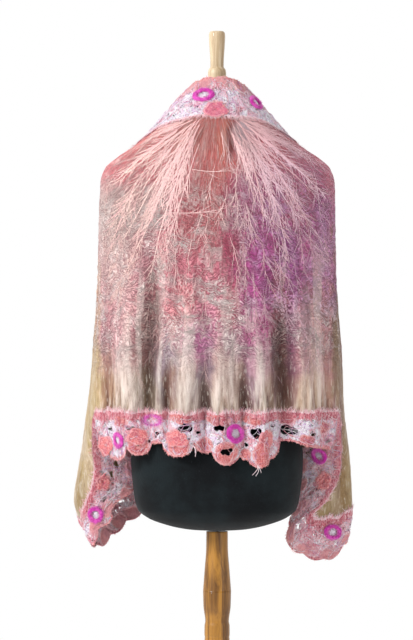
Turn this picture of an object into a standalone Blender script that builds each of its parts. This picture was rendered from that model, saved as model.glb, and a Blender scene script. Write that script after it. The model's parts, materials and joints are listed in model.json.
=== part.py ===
import math

import bmesh
import bpy
import numpy as np
from mathutils import Vector

# Metres, Z up. The photographed back of the scarf faces -Y and the pole stands on the Z axis.
SILK_WALL = 0.0014
LACE_WALL = 0.0024
SEAM_GAP = 0.0007
LAID_GAP = 0.0006
SETTLE_MARGIN = 0.0007
NEAR_SPLIT = 0.78
FOUR_ROWS = (0, 0.10, 0.38, 0.68, 1)
THREE_ROWS = (0, 0.14, 0.50, 1)
SILK_ROWS = (0, 0.03, 0.07, 0.12, 0.18, 0.25, 0.33, 0.42, 0.52, 0.62, 0.72, 0.81, 0.89, 0.95, 0.98, 1)
FOLD_SCALE = 1.25
GATHER_DEPTH = 0.0042
FRONT_FOLD_DEPTH = 0.012
NAPE_X = -0.004
NAPE_Z = 1.470

# One row for each level of the draped scarf: outline, depths, front edge, and the tuck at the corners.
SECTIONS = (
    ("z", "left", "right", "back", "side_y", "front", "inner_x", "tuck_left", "tuck_right"),
    (1.540, 0.0510, 0.0510, 0.0630, 0.000, 0.054, 0.020, 0.000, 0.000),
    (1.503, 0.0590, 0.0590, 0.0710, 0.000, 0.060, 0.030, 0.000, 0.000),
    (1.481, 0.0790, 0.0790, 0.0790, 0.000, 0.064, 0.040, 0.000, 0.000),
    (1.458, 0.1030, 0.1030, 0.0890, 0.000, 0.070, 0.055, 0.000, 0.000),
    (1.436, 0.1220, 0.1220, 0.0970, 0.000, 0.077, 0.070, 0.000, 0.000),
    (1.413, 0.1490, 0.1500, 0.1060, 0.000, 0.085, 0.080, 0.000, 0.000),
    (1.390, 0.1830, 0.1850, 0.1120, 0.000, 0.093, 0.087, 0.000, 0.000),
    (1.372, 0.2020, 0.2040, 0.1180, 0.001, 0.100, 0.091, 0.000, 0.000),
    (1.346, 0.2100, 0.2120, 0.1240, 0.003, 0.112, 0.095, 0.000, 0.000),
    (1.217, 0.2140, 0.2140, 0.1360, 0.010, 0.143, 0.100, 0.000, 0.000),
    (1.134, 0.2140, 0.2160, 0.1370, 0.012, 0.150, 0.098, 0.000, 0.000),
    (1.044, 0.2210, 0.2220, 0.1350, 0.015, 0.150, 0.096, 0.000, 0.000),
    (0.954, 0.2290, 0.2270, 0.1300, 0.019, 0.150, 0.094, 0.000, 0.000),
    (0.925, 0.2320, 0.2300, 0.1260, 0.022, 0.150, 0.093, 0.000, 0.000),
    (0.870, 0.2390, 0.2370, 0.0500, 0.030, 0.150, 0.092, 0.011, 0.009),
    (0.820, 0.2480, 0.2410, 0.0020, 0.040, 0.150, 0.090, 0.037, 0.030),
    (0.774, 0.2545, 0.2430, 0.0000, 0.043, 0.150, 0.088, 0.048, 0.099),
    (0.735, 0.2440, 0.2410, 0.0000, 0.046, 0.150, 0.088, 0.010, 0.206),
    (0.700, 0.2320, 0.2360, 0.0000, 0.048, 0.150, 0.088, 0.000, 0.210),
)

# The silk's upper edge, where the collar lace is felted on, from centre back to the front edge.
TOP_EDGE = (
    ("u", "z"),
    (0.00, 1.468),
    (0.30, 1.466),
    (0.60, 1.456),
    (1.00, 1.430),
    (1.30, 1.402),
    (1.60, 1.360),
    (1.85, 1.305),
    (2.00, 1.250),
)

# The silk's lower edge under the back, by column of the mesh from the left fold to the right fold.
BACK_COLUMNS = 88
LOWER_EDGE = (
    ("column", "u", "z"),
    (0, -1.000, 0.725),
    (3, -0.945, 0.750),
    (6, -0.893, 0.786),
    (8, -0.862, 0.830),
    (10, -0.826, 0.882),
    (12, -0.780, 0.932),
    (44, 0.000, 0.930),
    (76, 0.780, 0.932),
    (78, 0.830, 0.880),
    (80, 0.870, 0.828),
    (82, 0.900, 0.775),
    (84, 0.925, 0.738),
    (86, 0.962, 0.734),
    (88, 1.000, 0.745),
)

# The silk's lower edge under the fronts, from the side fold to the front edge.
FRONT_LOWER_EDGE = (
    ("u", "left_z", "right_z"),
    (1.00, 0.725, 0.745),
    (1.15, 0.742, 0.756),
    (1.30, 0.766, 0.772),
    (1.45, 0.790, 0.792),
    (1.60, 0.810, 0.812),
    (1.80, 0.832, 0.832),
    (2.00, 0.850, 0.846),
)

# The scalloped free edge of the hem lace, read across the photo.
HEM_EDGE = (
    ("x", "z"),
    (-0.215, 0.868),
    (-0.200, 0.856),
    (-0.180, 0.852),
    (-0.165, 0.861),
    (-0.150, 0.855),
    (-0.136, 0.858),
    (-0.122, 0.871),
    (-0.106, 0.879),
    (-0.088, 0.864),
    (-0.070, 0.857),
    (-0.054, 0.864),
    (-0.043, 0.876),
    (-0.022, 0.862),
    (0.000, 0.855),
    (0.018, 0.846),
    (0.036, 0.858),
    (0.047, 0.869),
    (0.060, 0.854),
    (0.070, 0.842),
    (0.083, 0.862),
    (0.098, 0.880),
    (0.112, 0.894),
    (0.135, 0.886),
    (0.160, 0.874),
    (0.200, 0.866),
)

# The free edge of the lace that turns down beside the form, by column of the back.
LEFT_EDGE = (
    ("column", "x", "y", "z"),
    (0, -0.2260, 0.038, 0.690),
    (1.5, -0.2100, 0.036, 0.722),
    (3, -0.1910, 0.036, 0.742),
    (4.5, -0.1840, 0.042, 0.770),
    (6, -0.1600, 0.052, 0.782),
    (8, -0.1480, 0.060, 0.816),
    (10, -0.1520, 0.056, 0.862),
    (11, -0.1800, 0.006, 0.866),
    (12, -0.2050, -0.035, 0.858),
)
RIGHT_EDGE = (
    ("column", "x", "y", "z"),
    (76, 0.2040, -0.036, 0.868),
    (77, 0.1780, 0.006, 0.872),
    (78, 0.1480, 0.056, 0.866),
    (80, 0.1450, 0.062, 0.806),
    (82, 0.1400, 0.058, 0.756),
    (83, 0.1270, 0.046, 0.712),
    (84, 0.1330, 0.040, 0.690),
)

# The free edge of the lace on the scarf's short ends, from the corner round to the front.
LEFT_END_EDGE = (
    ("u", "x", "y", "z"),
    (1.00, 0.2260, 0.040, 0.690),
    (1.15, 0.2120, 0.070, 0.688),
    (1.30, 0.1920, 0.092, 0.704),
    (1.45, 0.1700, 0.110, 0.724),
    (1.60, 0.1440, 0.122, 0.742),
    (1.80, 0.1040, 0.138, 0.768),
    (2.00, 0.0370, 0.146, 0.790),
)
RIGHT_END_EDGE = (
    ("u", "x", "y", "z"),
    (0.925, 0.1350, 0.043, 0.690),
    (0.943, 0.1560, 0.054, 0.673),
    (0.962, 0.1960, 0.062, 0.663),
    (1.00, 0.2350, 0.060, 0.694),
    (1.15, 0.2340, 0.086, 0.702),
    (1.30, 0.2080, 0.104, 0.710),
    (1.45, 0.1760, 0.118, 0.728),
    (1.60, 0.1440, 0.128, 0.744),
    (1.80, 0.1040, 0.140, 0.766),
    (2.00, 0.0330, 0.146, 0.786),
)

# The free edge of the collar, and of the lace that follows it down the open front.
COLLAR_EDGE = (
    ("u", "z"),
    (0.00, 1.533),
    (0.35, 1.529),
    (0.70, 1.517),
    (1.00, 1.503),
)
FRONT_EDGE = (
    ("share", "x", "y", "z"),
    (0.00, 0.0590, 0.000, 1.503),
    (0.08, 0.0640, 0.038, 1.476),
    (0.18, 0.0580, 0.078, 1.418),
    (0.30, 0.0440, 0.112, 1.330),
    (0.42, 0.0360, 0.136, 1.220),
    (0.60, 0.0330, 0.148, 1.080),
    (0.80, 0.0350, 0.150, 0.930),
    (1.00, 0.0340, 0.147, 0.790),
)

# The largest folds of the back, each a trough or a ridge that runs up from the hem.
FOLDS = (
    ("x", "half_width", "depth", "top", "lean"),
    (-0.198, 0.012, -0.006, 1.130, 0.02),
    (-0.163, 0.016, 0.007, 1.200, 0.04),
    (-0.127, 0.017, -0.014, 1.240, 0.03),
    (-0.109, 0.008, 0.005, 1.100, 0.03),
    (-0.091, 0.008, -0.010, 1.080, 0.02),
    (-0.057, 0.020, 0.008, 1.200, 0.02),
    (-0.023, 0.010, -0.011, 1.060, 0.00),
    (0.006, 0.013, 0.006, 1.120, 0.00),
    (0.048, 0.012, -0.012, 1.070, -0.03),
    (0.076, 0.012, 0.006, 1.150, -0.04),
    (0.095, 0.006, -0.007, 1.030, -0.02),
    (0.120, 0.017, -0.014, 1.170, -0.03),
    (0.162, 0.018, 0.008, 1.230, -0.05),
    (0.196, 0.010, -0.006, 1.080, 0.02),
)

# The folds that fan out from the gathered nape, by their angle from straight down.
RAYS = (
    ("angle", "spread", "length", "depth"),
    (-76, 6, 0.15, -0.003),
    (-62, 7, 0.20, 0.004),
    (-48, 6, 0.17, -0.004),
    (-35, 5, 0.15, 0.005),
    (-23, 5, 0.12, -0.008),
    (-12, 5, 0.15, 0.005),
    (-1, 5, 0.09, -0.006),
    (10, 5, 0.14, 0.007),
    (21, 5, 0.11, -0.010),
    (32, 6, 0.16, 0.006),
    (46, 6, 0.16, -0.004),
    (60, 7, 0.20, 0.004),
    (74, 6, 0.15, -0.003),
)

# Gaps in the hem lace that show the form or the backdrop, by place and by share of a mesh cell.
HEM_GAPS = (
    ("x", "row", "open"),
    (-0.206, 1, 0.85),
    (-0.190, 2, 0.80),
    (-0.173, 1, 0.80),
    (-0.140, 1, 0.70),
    (-0.094, 1, 0.65),
    (-0.070, 1, 0.90),
    (-0.036, 1, 0.85),
    (-0.018, 1, 0.80),
    (0.022, 2, 0.90),
    (0.050, 1, 0.60),
    (0.086, 1, 0.85),
    (0.108, 1, 0.75),
    (0.130, 1, 0.95),
    (0.162, 1, 0.85),
    (0.182, 2, 0.80),
    (0.200, 1, 0.90),
)

# Felt rings and rosettes: where each lies along and across its lace, its half sizes, and its side.
TRIMS = (
    ("band", "kind", "along", "across", "half_long", "half_across", "faces"),
    ("collar", "ring", 0.385, 0.58, 0.020, 0.0130, "out"),
    ("collar", "rosette", 0.490, 0.16, 0.021, 0.0150, "out"),
    ("collar", "ring", 0.800, 0.50, 0.015, 0.0140, "out"),
    ("hem_back", "rosette", 0.044, 0.76, 0.016, 0.0150, "back"),
    ("hem_back", "ring", 0.152, 0.70, 0.015, 0.0150, "back"),
    ("hem_back", "rosette", 0.228, 0.62, 0.019, 0.0150, "back"),
    ("hem_back", "rosette", 0.372, 0.62, 0.023, 0.0150, "back"),
    ("hem_back", "ring", 0.556, 0.50, 0.018, 0.0170, "back"),
    ("hem_back", "rosette", 0.662, 0.70, 0.015, 0.0140, "back"),
    ("left_side", "rosette", 0.600, 0.34, 0.015, 0.0130, "back"),
    ("left_side", "ring", 0.250, 0.52, 0.016, 0.0140, "back"),
    ("right_side", "ring", 0.340, 0.58, 0.016, 0.0150, "back"),
    ("right_side", "rosette", 0.560, 0.40, 0.016, 0.0140, "back"),
    ("left_end", "ring", 0.360, 0.55, 0.015, 0.0150, "out"),
    ("left_end", "ring", 0.840, 0.50, 0.015, 0.0150, "out"),
    ("right_end", "ring", 0.150, 0.45, 0.016, 0.0150, "back"),
    ("right_end", "ring", 0.640, 0.55, 0.015, 0.0150, "out"),
    ("left_front", "ring", 0.160, 0.50, 0.016, 0.0150, "out"),
    ("left_front", "rosette", 0.340, 0.50, 0.017, 0.0150, "out"),
    ("left_front", "ring", 0.520, 0.50, 0.016, 0.0150, "out"),
    ("left_front", "ring", 0.800, 0.50, 0.016, 0.0150, "out"),
    ("right_front", "ring", 0.220, 0.50, 0.016, 0.0150, "out"),
    ("right_front", "rosette", 0.420, 0.50, 0.017, 0.0150, "out"),
    ("right_front", "ring", 0.600, 0.50, 0.016, 0.0150, "out"),
    ("right_front", "ring", 0.860, 0.50, 0.016, 0.0150, "out"),
)


# The padded form under the scarf: half width and depths at each level.
TORSO = (
    ("z", "half_width", "front", "back"),
    (0.7200, 0.000, 0.000, 0.000),
    (0.7240, 0.055, 0.040, 0.040),
    (0.7320, 0.092, 0.064, 0.066),
    (0.7440, 0.124, 0.082, 0.086),
    (0.7600, 0.143, 0.093, 0.100),
    (0.7900, 0.150, 0.099, 0.108),
    (0.8500, 0.155, 0.103, 0.112),
    (0.9300, 0.143, 0.098, 0.104),
    (1.0400, 0.119, 0.090, 0.086),
    (1.1300, 0.127, 0.102, 0.090),
    (1.2100, 0.143, 0.118, 0.098),
    (1.2700, 0.160, 0.112, 0.102),
    (1.3300, 0.187, 0.092, 0.100),
    (1.3620, 0.1994, 0.080, 0.092),
    (1.3820, 0.1868, 0.072, 0.084),
    (1.4000, 0.1570, 0.064, 0.076),
    (1.4200, 0.1150, 0.058, 0.068),
    (1.4420, 0.0760, 0.053, 0.060),
    (1.4700, 0.0520, 0.048, 0.052),
    (1.5120, 0.0470, 0.046, 0.047),
    (1.5200, 0.0000, 0.000, 0.000),
)

KNOB = (
    ("radius", "z"),
    (0.0000, 1.6200),
    (0.0105, 1.6197),
    (0.0140, 1.6165),
    (0.0146, 1.6110),
    (0.0136, 1.5900),
    (0.0121, 1.5650),
    (0.0120, 1.5560),
    (0.0155, 1.5500),
    (0.0165, 1.5440),
    (0.0160, 1.5340),
    (0.0220, 1.5275),
    (0.0235, 1.5215),
    (0.0235, 1.5205),
    (0.0000, 1.5205),
)

POLE = (
    ("radius", "z"),
    (0.0000, 0.7197),
    (0.0193, 0.7197),
    (0.0196, 0.6900),
    (0.0225, 0.6500),
    (0.0253, 0.6120),
    (0.0245, 0.5850),
    (0.0213, 0.5580),
    (0.0226, 0.5500),
    (0.0228, 0.5340),
    (0.0222, 0.5300),
    (0.0248, 0.5100),
    (0.0285, 0.4500),
    (0.0300, 0.3600),
    (0.0280, 0.2600),
    (0.0235, 0.1700),
    (0.0215, 0.1200),
    (0.0262, 0.1080),
    (0.0225, 0.0950),
    (0.0250, 0.0450),
    (0.0000, 0.0450),
)

BASE = (
    ("radius", "z"),
    (0.0000, 0.0447),
    (0.0380, 0.0447),
    (0.0440, 0.0410),
    (0.0600, 0.0340),
    (0.1200, 0.0270),
    (0.1520, 0.0230),
    (0.1600, 0.0170),
    (0.1600, 0.0050),
    (0.1560, 0.0000),
    (0.0000, 0.0000),
)


def column(table, name):
    index = table[0].index(name)
    return np.array([row[index] for row in table[1:]], float)


def smooth(xs, ys, at):
    """A smooth curve through the points that never overshoots them."""
    if xs[0] > xs[-1]:
        xs = xs[::-1]
        ys = ys[::-1]
    steps = np.diff(xs)
    slopes = np.diff(ys) / steps
    tangents = np.zeros(len(xs))
    tangents[0] = slopes[0]
    tangents[-1] = slopes[-1]
    before = slopes[:-1]
    after = slopes[1:]
    weight = 2 * before * after / np.where(np.abs(before + after) < 1e-12, 1e-12, before + after)
    tangents[1:-1] = np.where(before * after > 0, weight, 0)
    at = np.asarray(at, float)
    index = np.clip(np.searchsorted(xs, at, "right") - 1, 0, len(xs) - 2)
    t = np.clip((at - xs[index]) / steps[index], 0, 1)
    start = ys[index] * (1 + 2 * t) * (1 - t) ** 2 + tangents[index] * steps[index] * t * (1 - t) ** 2
    end = ys[index + 1] * t * t * (3 - 2 * t) - tangents[index + 1] * steps[index] * t * t * (1 - t)
    return start + end


def read(table, key, name, at):
    return smooth(column(table, key), column(table, name), at)


def ramp(value):
    t = np.clip(value, 0, 1)
    return t * t * (3 - 2 * t)


def stack(x, y, z):
    return np.stack(np.broadcast_arrays(x, y, z), axis=-1)


# The draped surface: u is 0 at centre back, 1 at the outer fold and 2 at the front edge.
def drape(u, z):
    u, z = np.broadcast_arrays(np.asarray(u, float), np.asarray(z, float))
    side = np.where(u < 0, -1.0, 1.0)
    reach = np.abs(u)
    half = np.where(u < 0, read(SECTIONS, "z", "left", z), read(SECTIONS, "z", "right", z))
    tuck = np.where(u < 0, read(SECTIONS, "z", "tuck_left", z), read(SECTIONS, "z", "tuck_right", z))
    back = read(SECTIONS, "z", "back", z)
    side_y = read(SECTIONS, "z", "side_y", z)
    front = read(SECTIONS, "z", "front", z)
    inner = read(SECTIONS, "z", "inner_x", z)
    near = np.clip(reach, 0, 1) * math.pi / 2
    far = np.clip(reach - 1, 0, 1) * math.pi / 2
    turned = np.clip((1 - reach) / (1 - NEAR_SPLIT), 0, 1)
    near_x = half * np.sin(near) - tuck * turned
    near_y = side_y - (back + side_y) * np.cos(near)
    far_x = inner + (half - inner) * np.cos(far)
    far_y = side_y + (front - side_y) * np.sin(far)
    return stack(side * np.where(reach <= 1, near_x, far_x), np.where(reach <= 1, near_y, far_y), z)


def normals(grid):
    along = np.gradient(grid, axis=1)
    down = np.gradient(grid, axis=0)
    facing = np.cross(along, down)
    facing /= np.maximum(np.linalg.norm(facing, axis=2, keepdims=True), 1e-9)
    outward = grid * np.array([1.0, 1.0, 0.0]) + np.array([0.0, 0.0, 0.02])
    return facing if (facing * outward).sum() > 0 else -facing


def back_fold(grid, places):
    x = grid[..., 0]
    z = grid[..., 2]
    above = z - 0.932
    total = np.zeros_like(x)
    for centre, half_width, depth, top, lean in FOLDS[1:]:
        middle = centre + lean * above
        bell = np.exp(-(((x - middle) / half_width) ** 2))
        total += FOLD_SCALE * depth * bell * ramp((top - z) / 0.16)
    gathers = np.sin(2 * math.pi * places / 3.15 + 1.2 * np.sin(places * 0.43))
    total += GATHER_DEPTH * gathers * ramp(1 - above / 0.085)
    reach = np.hypot(x - NAPE_X, z - NAPE_Z)
    angle = np.degrees(np.arctan2(x - NAPE_X, NAPE_Z + 0.012 - z))
    for centre, spread, length, depth in RAYS[1:]:
        bell = np.exp(-(((angle - centre) / spread) ** 2))
        total += depth * bell * ramp(reach / 0.035) * ramp((length - reach) / (0.7 * length))
    reach = np.abs(places / (BACK_COLUMNS / 2) - 1)
    legs = ramp((reach - 0.66) / 0.08) * ramp((1.03 - z) / 0.08)
    top = ramp((grid[0:1, :, 2] - z) / 0.035)
    return total * ramp((1 - reach) / 0.10) * (1 - legs) * top


def front_fold(u, z):
    reach = np.abs(u) - 1
    wave = np.sin(2 * math.pi * 2.6 * reach + 0.9 * np.sin(6 * reach) + np.where(u < 0, 0.0, 0.8))
    return FRONT_FOLD_DEPTH * wave * ramp(reach / 0.15) * ramp((1.33 - z) / 0.3)


def silk_back_grid():
    rows = np.array(SILK_ROWS)
    places = np.linspace(0, BACK_COLUMNS, BACK_COLUMNS + 1)
    top_u = places / (BACK_COLUMNS / 2) - 1
    top_z = read(TOP_EDGE, "u", "z", np.abs(top_u))
    low_u = read(LOWER_EDGE, "column", "u", places)
    low_z = read(LOWER_EDGE, "column", "z", places)
    share = rows[:, None]
    u = top_u * (1 - share) + low_u * share
    z = top_z * (1 - share) + low_z * share
    grid = drape(u, z)
    return grid + normals(grid) * back_fold(grid, np.broadcast_to(places, u.shape))[..., None]


def silk_front_grid(side):
    name = "left_z" if side < 0 else "right_z"
    rows = np.array(SILK_ROWS)
    reach = np.linspace(1.0, 2.0, 13)
    reach[0] = 1.006
    top_z = read(TOP_EDGE, "u", "z", reach)
    low_z = read(FRONT_LOWER_EDGE, "u", name, reach)
    share = rows[:, None]
    u = side * np.broadcast_to(reach, (len(rows), len(reach)))
    z = top_z * (1 - share) + low_z * share
    grid = drape(u, z)
    return grid + normals(grid) * front_fold(u, z)[..., None]


def finer(points, parts):
    """The same polyline, or rows of them, with each step divided."""
    count = len(points)
    at = np.linspace(0, count - 1, (count - 1) * parts + 1)
    index = np.clip(at.astype(int), 0, count - 2)
    part = (at - index).reshape((-1,) + (1,) * (points.ndim - 1))
    return points[index] * (1 - part) + points[index + 1] * part


def lengths(points):
    runs = np.linalg.norm(np.diff(points, axis=0), axis=1)
    return np.concatenate([[0], np.cumsum(runs)])


def band(seam, inner, free, shares, gap, bulge, ends):
    """A grid of lace from the silk's edge to the free edge, clear of the silk where it turns away."""
    reach = free - seam
    reach_unit = reach / np.linalg.norm(reach, axis=1, keepdims=True)
    edge = np.gradient(seam, axis=0)
    edge /= np.linalg.norm(edge, axis=1, keepdims=True)
    onward = seam - inner
    onward -= edge * (onward * edge).sum(axis=1, keepdims=True)
    onward /= np.maximum(np.linalg.norm(onward, axis=1, keepdims=True), 1e-9)
    reach_across = reach_unit - edge * (reach_unit * edge).sum(axis=1, keepdims=True)
    reach_across /= np.maximum(np.linalg.norm(reach_across, axis=1, keepdims=True), 1e-9)
    turned_by = np.clip((onward * reach_across).sum(axis=1, keepdims=True), -1, 1)
    clear = gap + (LACE_WALL + SILK_WALL) / 2 * np.sqrt(1 - turned_by * turned_by)
    seam = seam + reach_unit * clear
    reach = free - seam
    shares = np.array(shares)[:, None, None]
    grid = seam[None] + reach[None] * shares
    grid = grid + normals(grid) * (bulge * np.sin(math.pi * shares))
    for place, beside, inset in ((0, 1, ends[0]), (-1, -2, ends[1])):
        step = grid[:, beside] - grid[:, place]
        grid[:, place] += step / np.linalg.norm(step, axis=1, keepdims=True) * inset
    return grid


def scallop(seam, free, length, depth, shift):
    """Free edge with rounded petals that meet in narrow valleys."""
    along = lengths(free)
    petal = np.abs(np.sin(math.pi * (along / length + shift)))
    outward = free - seam
    outward /= np.linalg.norm(outward, axis=1, keepdims=True)
    return free + outward * (depth * (petal - 0.6))[:, None]


def grid_mesh(name, grid, gaps):
    """A grid whose points are moved onto the given surface, less the cells at its gaps."""
    across = grid.shape[0] - 1
    along = grid.shape[1] - 1
    mesh = bmesh.new()
    bmesh.ops.create_grid(mesh, x_segments=along, y_segments=across, size=1)
    spots = {}
    for vert in mesh.verts:
        spot = ((vert.co.x + 1) / 2 * along, (vert.co.y + 1) / 2 * across)
        spots[vert] = spot
    for cell_along, cell_across, share in gaps:
        middle = (cell_along + 0.5, cell_across + 0.5)
        doomed = []
        for face in mesh.faces:
            here = [sum(spots[vert][axis] for vert in face.verts) / len(face.verts) for axis in (0, 1)]
            if abs(here[0] - middle[0]) < 0.3 and abs(here[1] - middle[1]) < 0.3:
                doomed.append(face)
        for face in doomed:
            for vert in face.verts:
                spot = spots[vert]
                if 0 < spot[1] < across:
                    pulled = [middle[axis] + (spot[axis] - middle[axis]) * share for axis in (0, 1)]
                    spots[vert] = tuple(pulled)
        bmesh.ops.delete(mesh, geom=doomed, context="FACES")
    for vert in mesh.verts:
        if vert.is_valid:
            vert.co = Vector(surface_point(grid, *spots[vert]))
    bmesh.ops.recalc_face_normals(mesh, faces=mesh.faces)
    data = bpy.data.meshes.new(name)
    mesh.to_mesh(data)
    mesh.free()
    return data


def surface_point(grid, along, across):
    row = min(max(int(across), 0), grid.shape[0] - 2)
    place = min(max(int(along), 0), grid.shape[1] - 2)
    part = across - row
    step = along - place
    upper = grid[row, place] * (1 - step) + grid[row, place + 1] * step
    lower = grid[row + 1, place] * (1 - step) + grid[row + 1, place + 1] * step
    return upper * (1 - part) + lower * part


def sheet(name, grid, wall, material, gaps=()):
    thing = bpy.data.objects.new(name, grid_mesh(name, grid, gaps))
    scarf.objects.link(thing)
    shell = thing.modifiers.new("wall", "SOLIDIFY")
    shell.thickness = wall
    shell.offset = 0
    shell.use_even_offset = False
    thing.data.materials.append(material)
    for face in thing.data.polygons:
        face.use_smooth = True
    return thing


def trim(name, grid, kind, along, across, half_long, half_across, side, material):
    """A felt ring or rosette laid on the highest points of a lace grid and clear of its wall."""
    place = along * (grid.shape[1] - 1)
    row = across * (grid.shape[0] - 1)
    centre = surface_point(grid, place, row)
    step = surface_point(grid, place + 1, row) - surface_point(grid, place - 1, row)
    reach = 2 * half_long / np.linalg.norm(step)
    right = surface_point(grid, place + reach, row) - surface_point(grid, place - reach, row)
    right /= np.linalg.norm(right)
    down = surface_point(grid, place, row + 0.4) - surface_point(grid, place, row - 0.4)
    facing = np.cross(right, down)
    facing /= np.linalg.norm(facing)
    outward = np.array([0.0, -1.0, 0.0]) if side == "back" else centre * np.array([1.0, 1.0, 0.0])
    if np.dot(facing, outward) < 0:
        facing = -facing
    down = np.cross(facing, right)
    offsets = finer(finer(grid, 3).transpose(1, 0, 2), 5).reshape(-1, 3) - centre
    flat = np.stack([offsets @ right, offsets @ down], axis=1)
    rise = offsets @ facing
    lift = LACE_WALL / 2 + LAID_GAP
    spread = np.linalg.norm(flat / np.array([half_long, half_across]), axis=1)
    highest = rise[(spread < 1) & (spread > (0.45 if kind == "ring" else 0))].max()
    mesh = bmesh.new()
    if kind == "ring":
        bmesh.ops.create_grid(mesh, x_segments=11, y_segments=4, size=1)
    else:
        bmesh.ops.create_uvsphere(mesh, u_segments=10, v_segments=4, radius=1)
    for vert in mesh.verts:
        if kind == "ring":
            turn = (vert.co.x + 1) * math.pi
            tilt = (vert.co.y + 1) * math.pi + math.pi / 4
            reach = 0.72 + 0.26 * math.cos(tilt) / math.sqrt(0.5)
            height = 0.0046 if math.sin(tilt) > 0 else 0.0
            height *= 1 + 0.15 * math.sin(3 * turn + along * 40)
        else:
            turn = math.atan2(vert.co.y, vert.co.x)
            reach = math.hypot(vert.co.x, vert.co.y) * (1 + 0.10 * math.cos(5 * turn))
            height = 0.0010 + 0.0050 * max(vert.co.z, 0) ** 0.7 if vert.co.z > -0.3 else 0.0
        spot = np.array([math.cos(turn) * reach * half_long, math.sin(turn) * reach * half_across])
        under = spot * (0.70 / reach) if kind == "ring" else spot
        near = np.linalg.norm(flat - under, axis=1)
        carried = max(rise[near < max(0.0085, near.min() * 1.3)].max(), highest - 0.006)
        point = right * spot[0] + down * spot[1] + facing * (carried + lift + height)
        vert.co = Vector(point)
    for settle in range(4):
        points = np.array([vert.co for vert in mesh.verts])
        spaces = np.linalg.norm(points[:, None] - offsets[None], axis=2)
        drop = Vector(facing * max(0, spaces.min() - lift - SETTLE_MARGIN) * 0.9)
        for vert in mesh.verts:
            vert.co -= drop
    for vert in mesh.verts:
        vert.co += Vector(centre)
    bmesh.ops.remove_doubles(mesh, verts=mesh.verts, dist=0.00001)
    bmesh.ops.recalc_face_normals(mesh, faces=mesh.faces)
    data = bpy.data.meshes.new(name)
    mesh.to_mesh(data)
    mesh.free()
    thing = bpy.data.objects.new(name, data)
    scarf.objects.link(thing)
    data.materials.append(material)
    for face in data.polygons:
        face.use_smooth = True
    return thing


def turned(name, profile, steps, material):
    """A turned piece: its half outline swept once round the pole's axis."""
    data = bpy.data.meshes.new(name)
    rows = profile[:0:-1]
    data.from_pydata([(radius, 0, z) for radius, z in rows], [(i, i + 1) for i in range(len(rows) - 1)], [])
    thing = bpy.data.objects.new(name, data)
    scarf.objects.link(thing)
    screw = thing.modifiers.new("turn", "SCREW")
    screw.steps = steps
    screw.render_steps = steps
    screw.use_merge_vertices = True
    screw.merge_threshold = 0.00001
    screw.use_smooth_shade = True
    screw.use_normal_calculate = True
    data.materials.append(material)
    return thing


def padded_form(name, material):
    """The form: a ball whose rings are moved to the levels and widths of the torso table."""
    levels = TORSO[1:]
    mesh = bmesh.new()
    bmesh.ops.create_uvsphere(mesh, u_segments=28, v_segments=len(levels) - 1, radius=1)
    for vert in mesh.verts:
        ring = round((1 - math.acos(max(-1, min(1, vert.co.z))) / math.pi) * (len(levels) - 1))
        z, half_width, front, back = levels[ring]
        turn = math.atan2(vert.co.y, vert.co.x)
        depth = front if math.sin(turn) > 0 else back
        across = math.copysign(abs(math.cos(turn)) ** 0.88, math.cos(turn))
        fore = math.copysign(abs(math.sin(turn)) ** 0.88, math.sin(turn))
        vert.co = Vector((across * half_width, fore * depth, z))
    bmesh.ops.recalc_face_normals(mesh, faces=mesh.faces)
    data = bpy.data.meshes.new(name)
    mesh.to_mesh(data)
    mesh.free()
    thing = bpy.data.objects.new(name, data)
    scarf.objects.link(thing)
    data.materials.append(material)
    for face in data.polygons:
        face.use_smooth = True
    return thing


def finish(name, color, roughness, metallic=0.0):
    material = bpy.data.materials.new(name)
    material.use_nodes = True
    shader = material.node_tree.nodes["Principled BSDF"]
    shader.inputs["Base Color"].default_value = (*color, 1)
    shader.inputs["Roughness"].default_value = roughness
    shader.inputs["Metallic"].default_value = metallic
    material.diffuse_color = (*color, 1)
    return material


for old in list(bpy.data.objects):
    bpy.data.objects.remove(old, do_unlink=True)

scarf = bpy.data.collections.new("silk_scarf_on_dress_form")
bpy.context.scene.collection.children.link(scarf)

silk_finish = finish("dyed_silk", (0.70, 0.36, 0.38), 0.55)
silk_inside_finish = finish("dyed_silk_fronts", (0.62, 0.46, 0.34), 0.55)
lace_finish = finish("felted_lace", (0.84, 0.50, 0.58), 0.85)
ring_finish = finish("magenta_felt", (0.66, 0.06, 0.42), 0.9)
rosette_finish = finish("salmon_felt", (0.86, 0.36, 0.38), 0.9)
jersey_finish = finish("black_jersey", (0.012, 0.014, 0.016), 0.85)
knob_finish = finish("pale_turned_wood", (0.62, 0.42, 0.24), 0.5)
pole_finish = finish("golden_turned_wood", (0.50, 0.25, 0.07), 0.45)
base_finish = finish("golden_turned_base", (0.48, 0.24, 0.07), 0.45)

padded_form("form_torso", jersey_finish)
turned("form_neck_knob", KNOB, 16, knob_finish)
turned("form_pole", POLE, 16, pole_finish)
turned("form_base", BASE, 32, base_finish)

back_grid = silk_back_grid()
left_grid = silk_front_grid(-1)
right_grid = silk_front_grid(1)
sheet("silk_back", back_grid, SILK_WALL, silk_finish)
sheet("silk_left_front", left_grid, SILK_WALL, silk_inside_finish)
sheet("silk_right_front", right_grid, SILK_WALL, silk_inside_finish)

lace_grids = {}

# The hem lace hangs from the gathered lower edge of the back.
hem_seam = back_grid[-1, 12:77]
hem_x = hem_seam[:, 0] * (0.985 - 0.045 * ramp((np.abs(hem_seam[:, 0]) - 0.15) / 0.065))
hem_places = np.arange(12, 77)
hem_y = drape(read(LOWER_EDGE, "column", "u", hem_places), 0.93)[:, 1]
hem_free = stack(hem_x, hem_seam[:, 1] * 0.6 + hem_y * 0.4, read(HEM_EDGE, "x", "z", hem_x))
lace_grids["hem_back"] = band(
    hem_seam, back_grid[-2, 12:77], hem_free, FOUR_ROWS, SEAM_GAP, 0.002, (0.0013, 0.0013)
)

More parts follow.
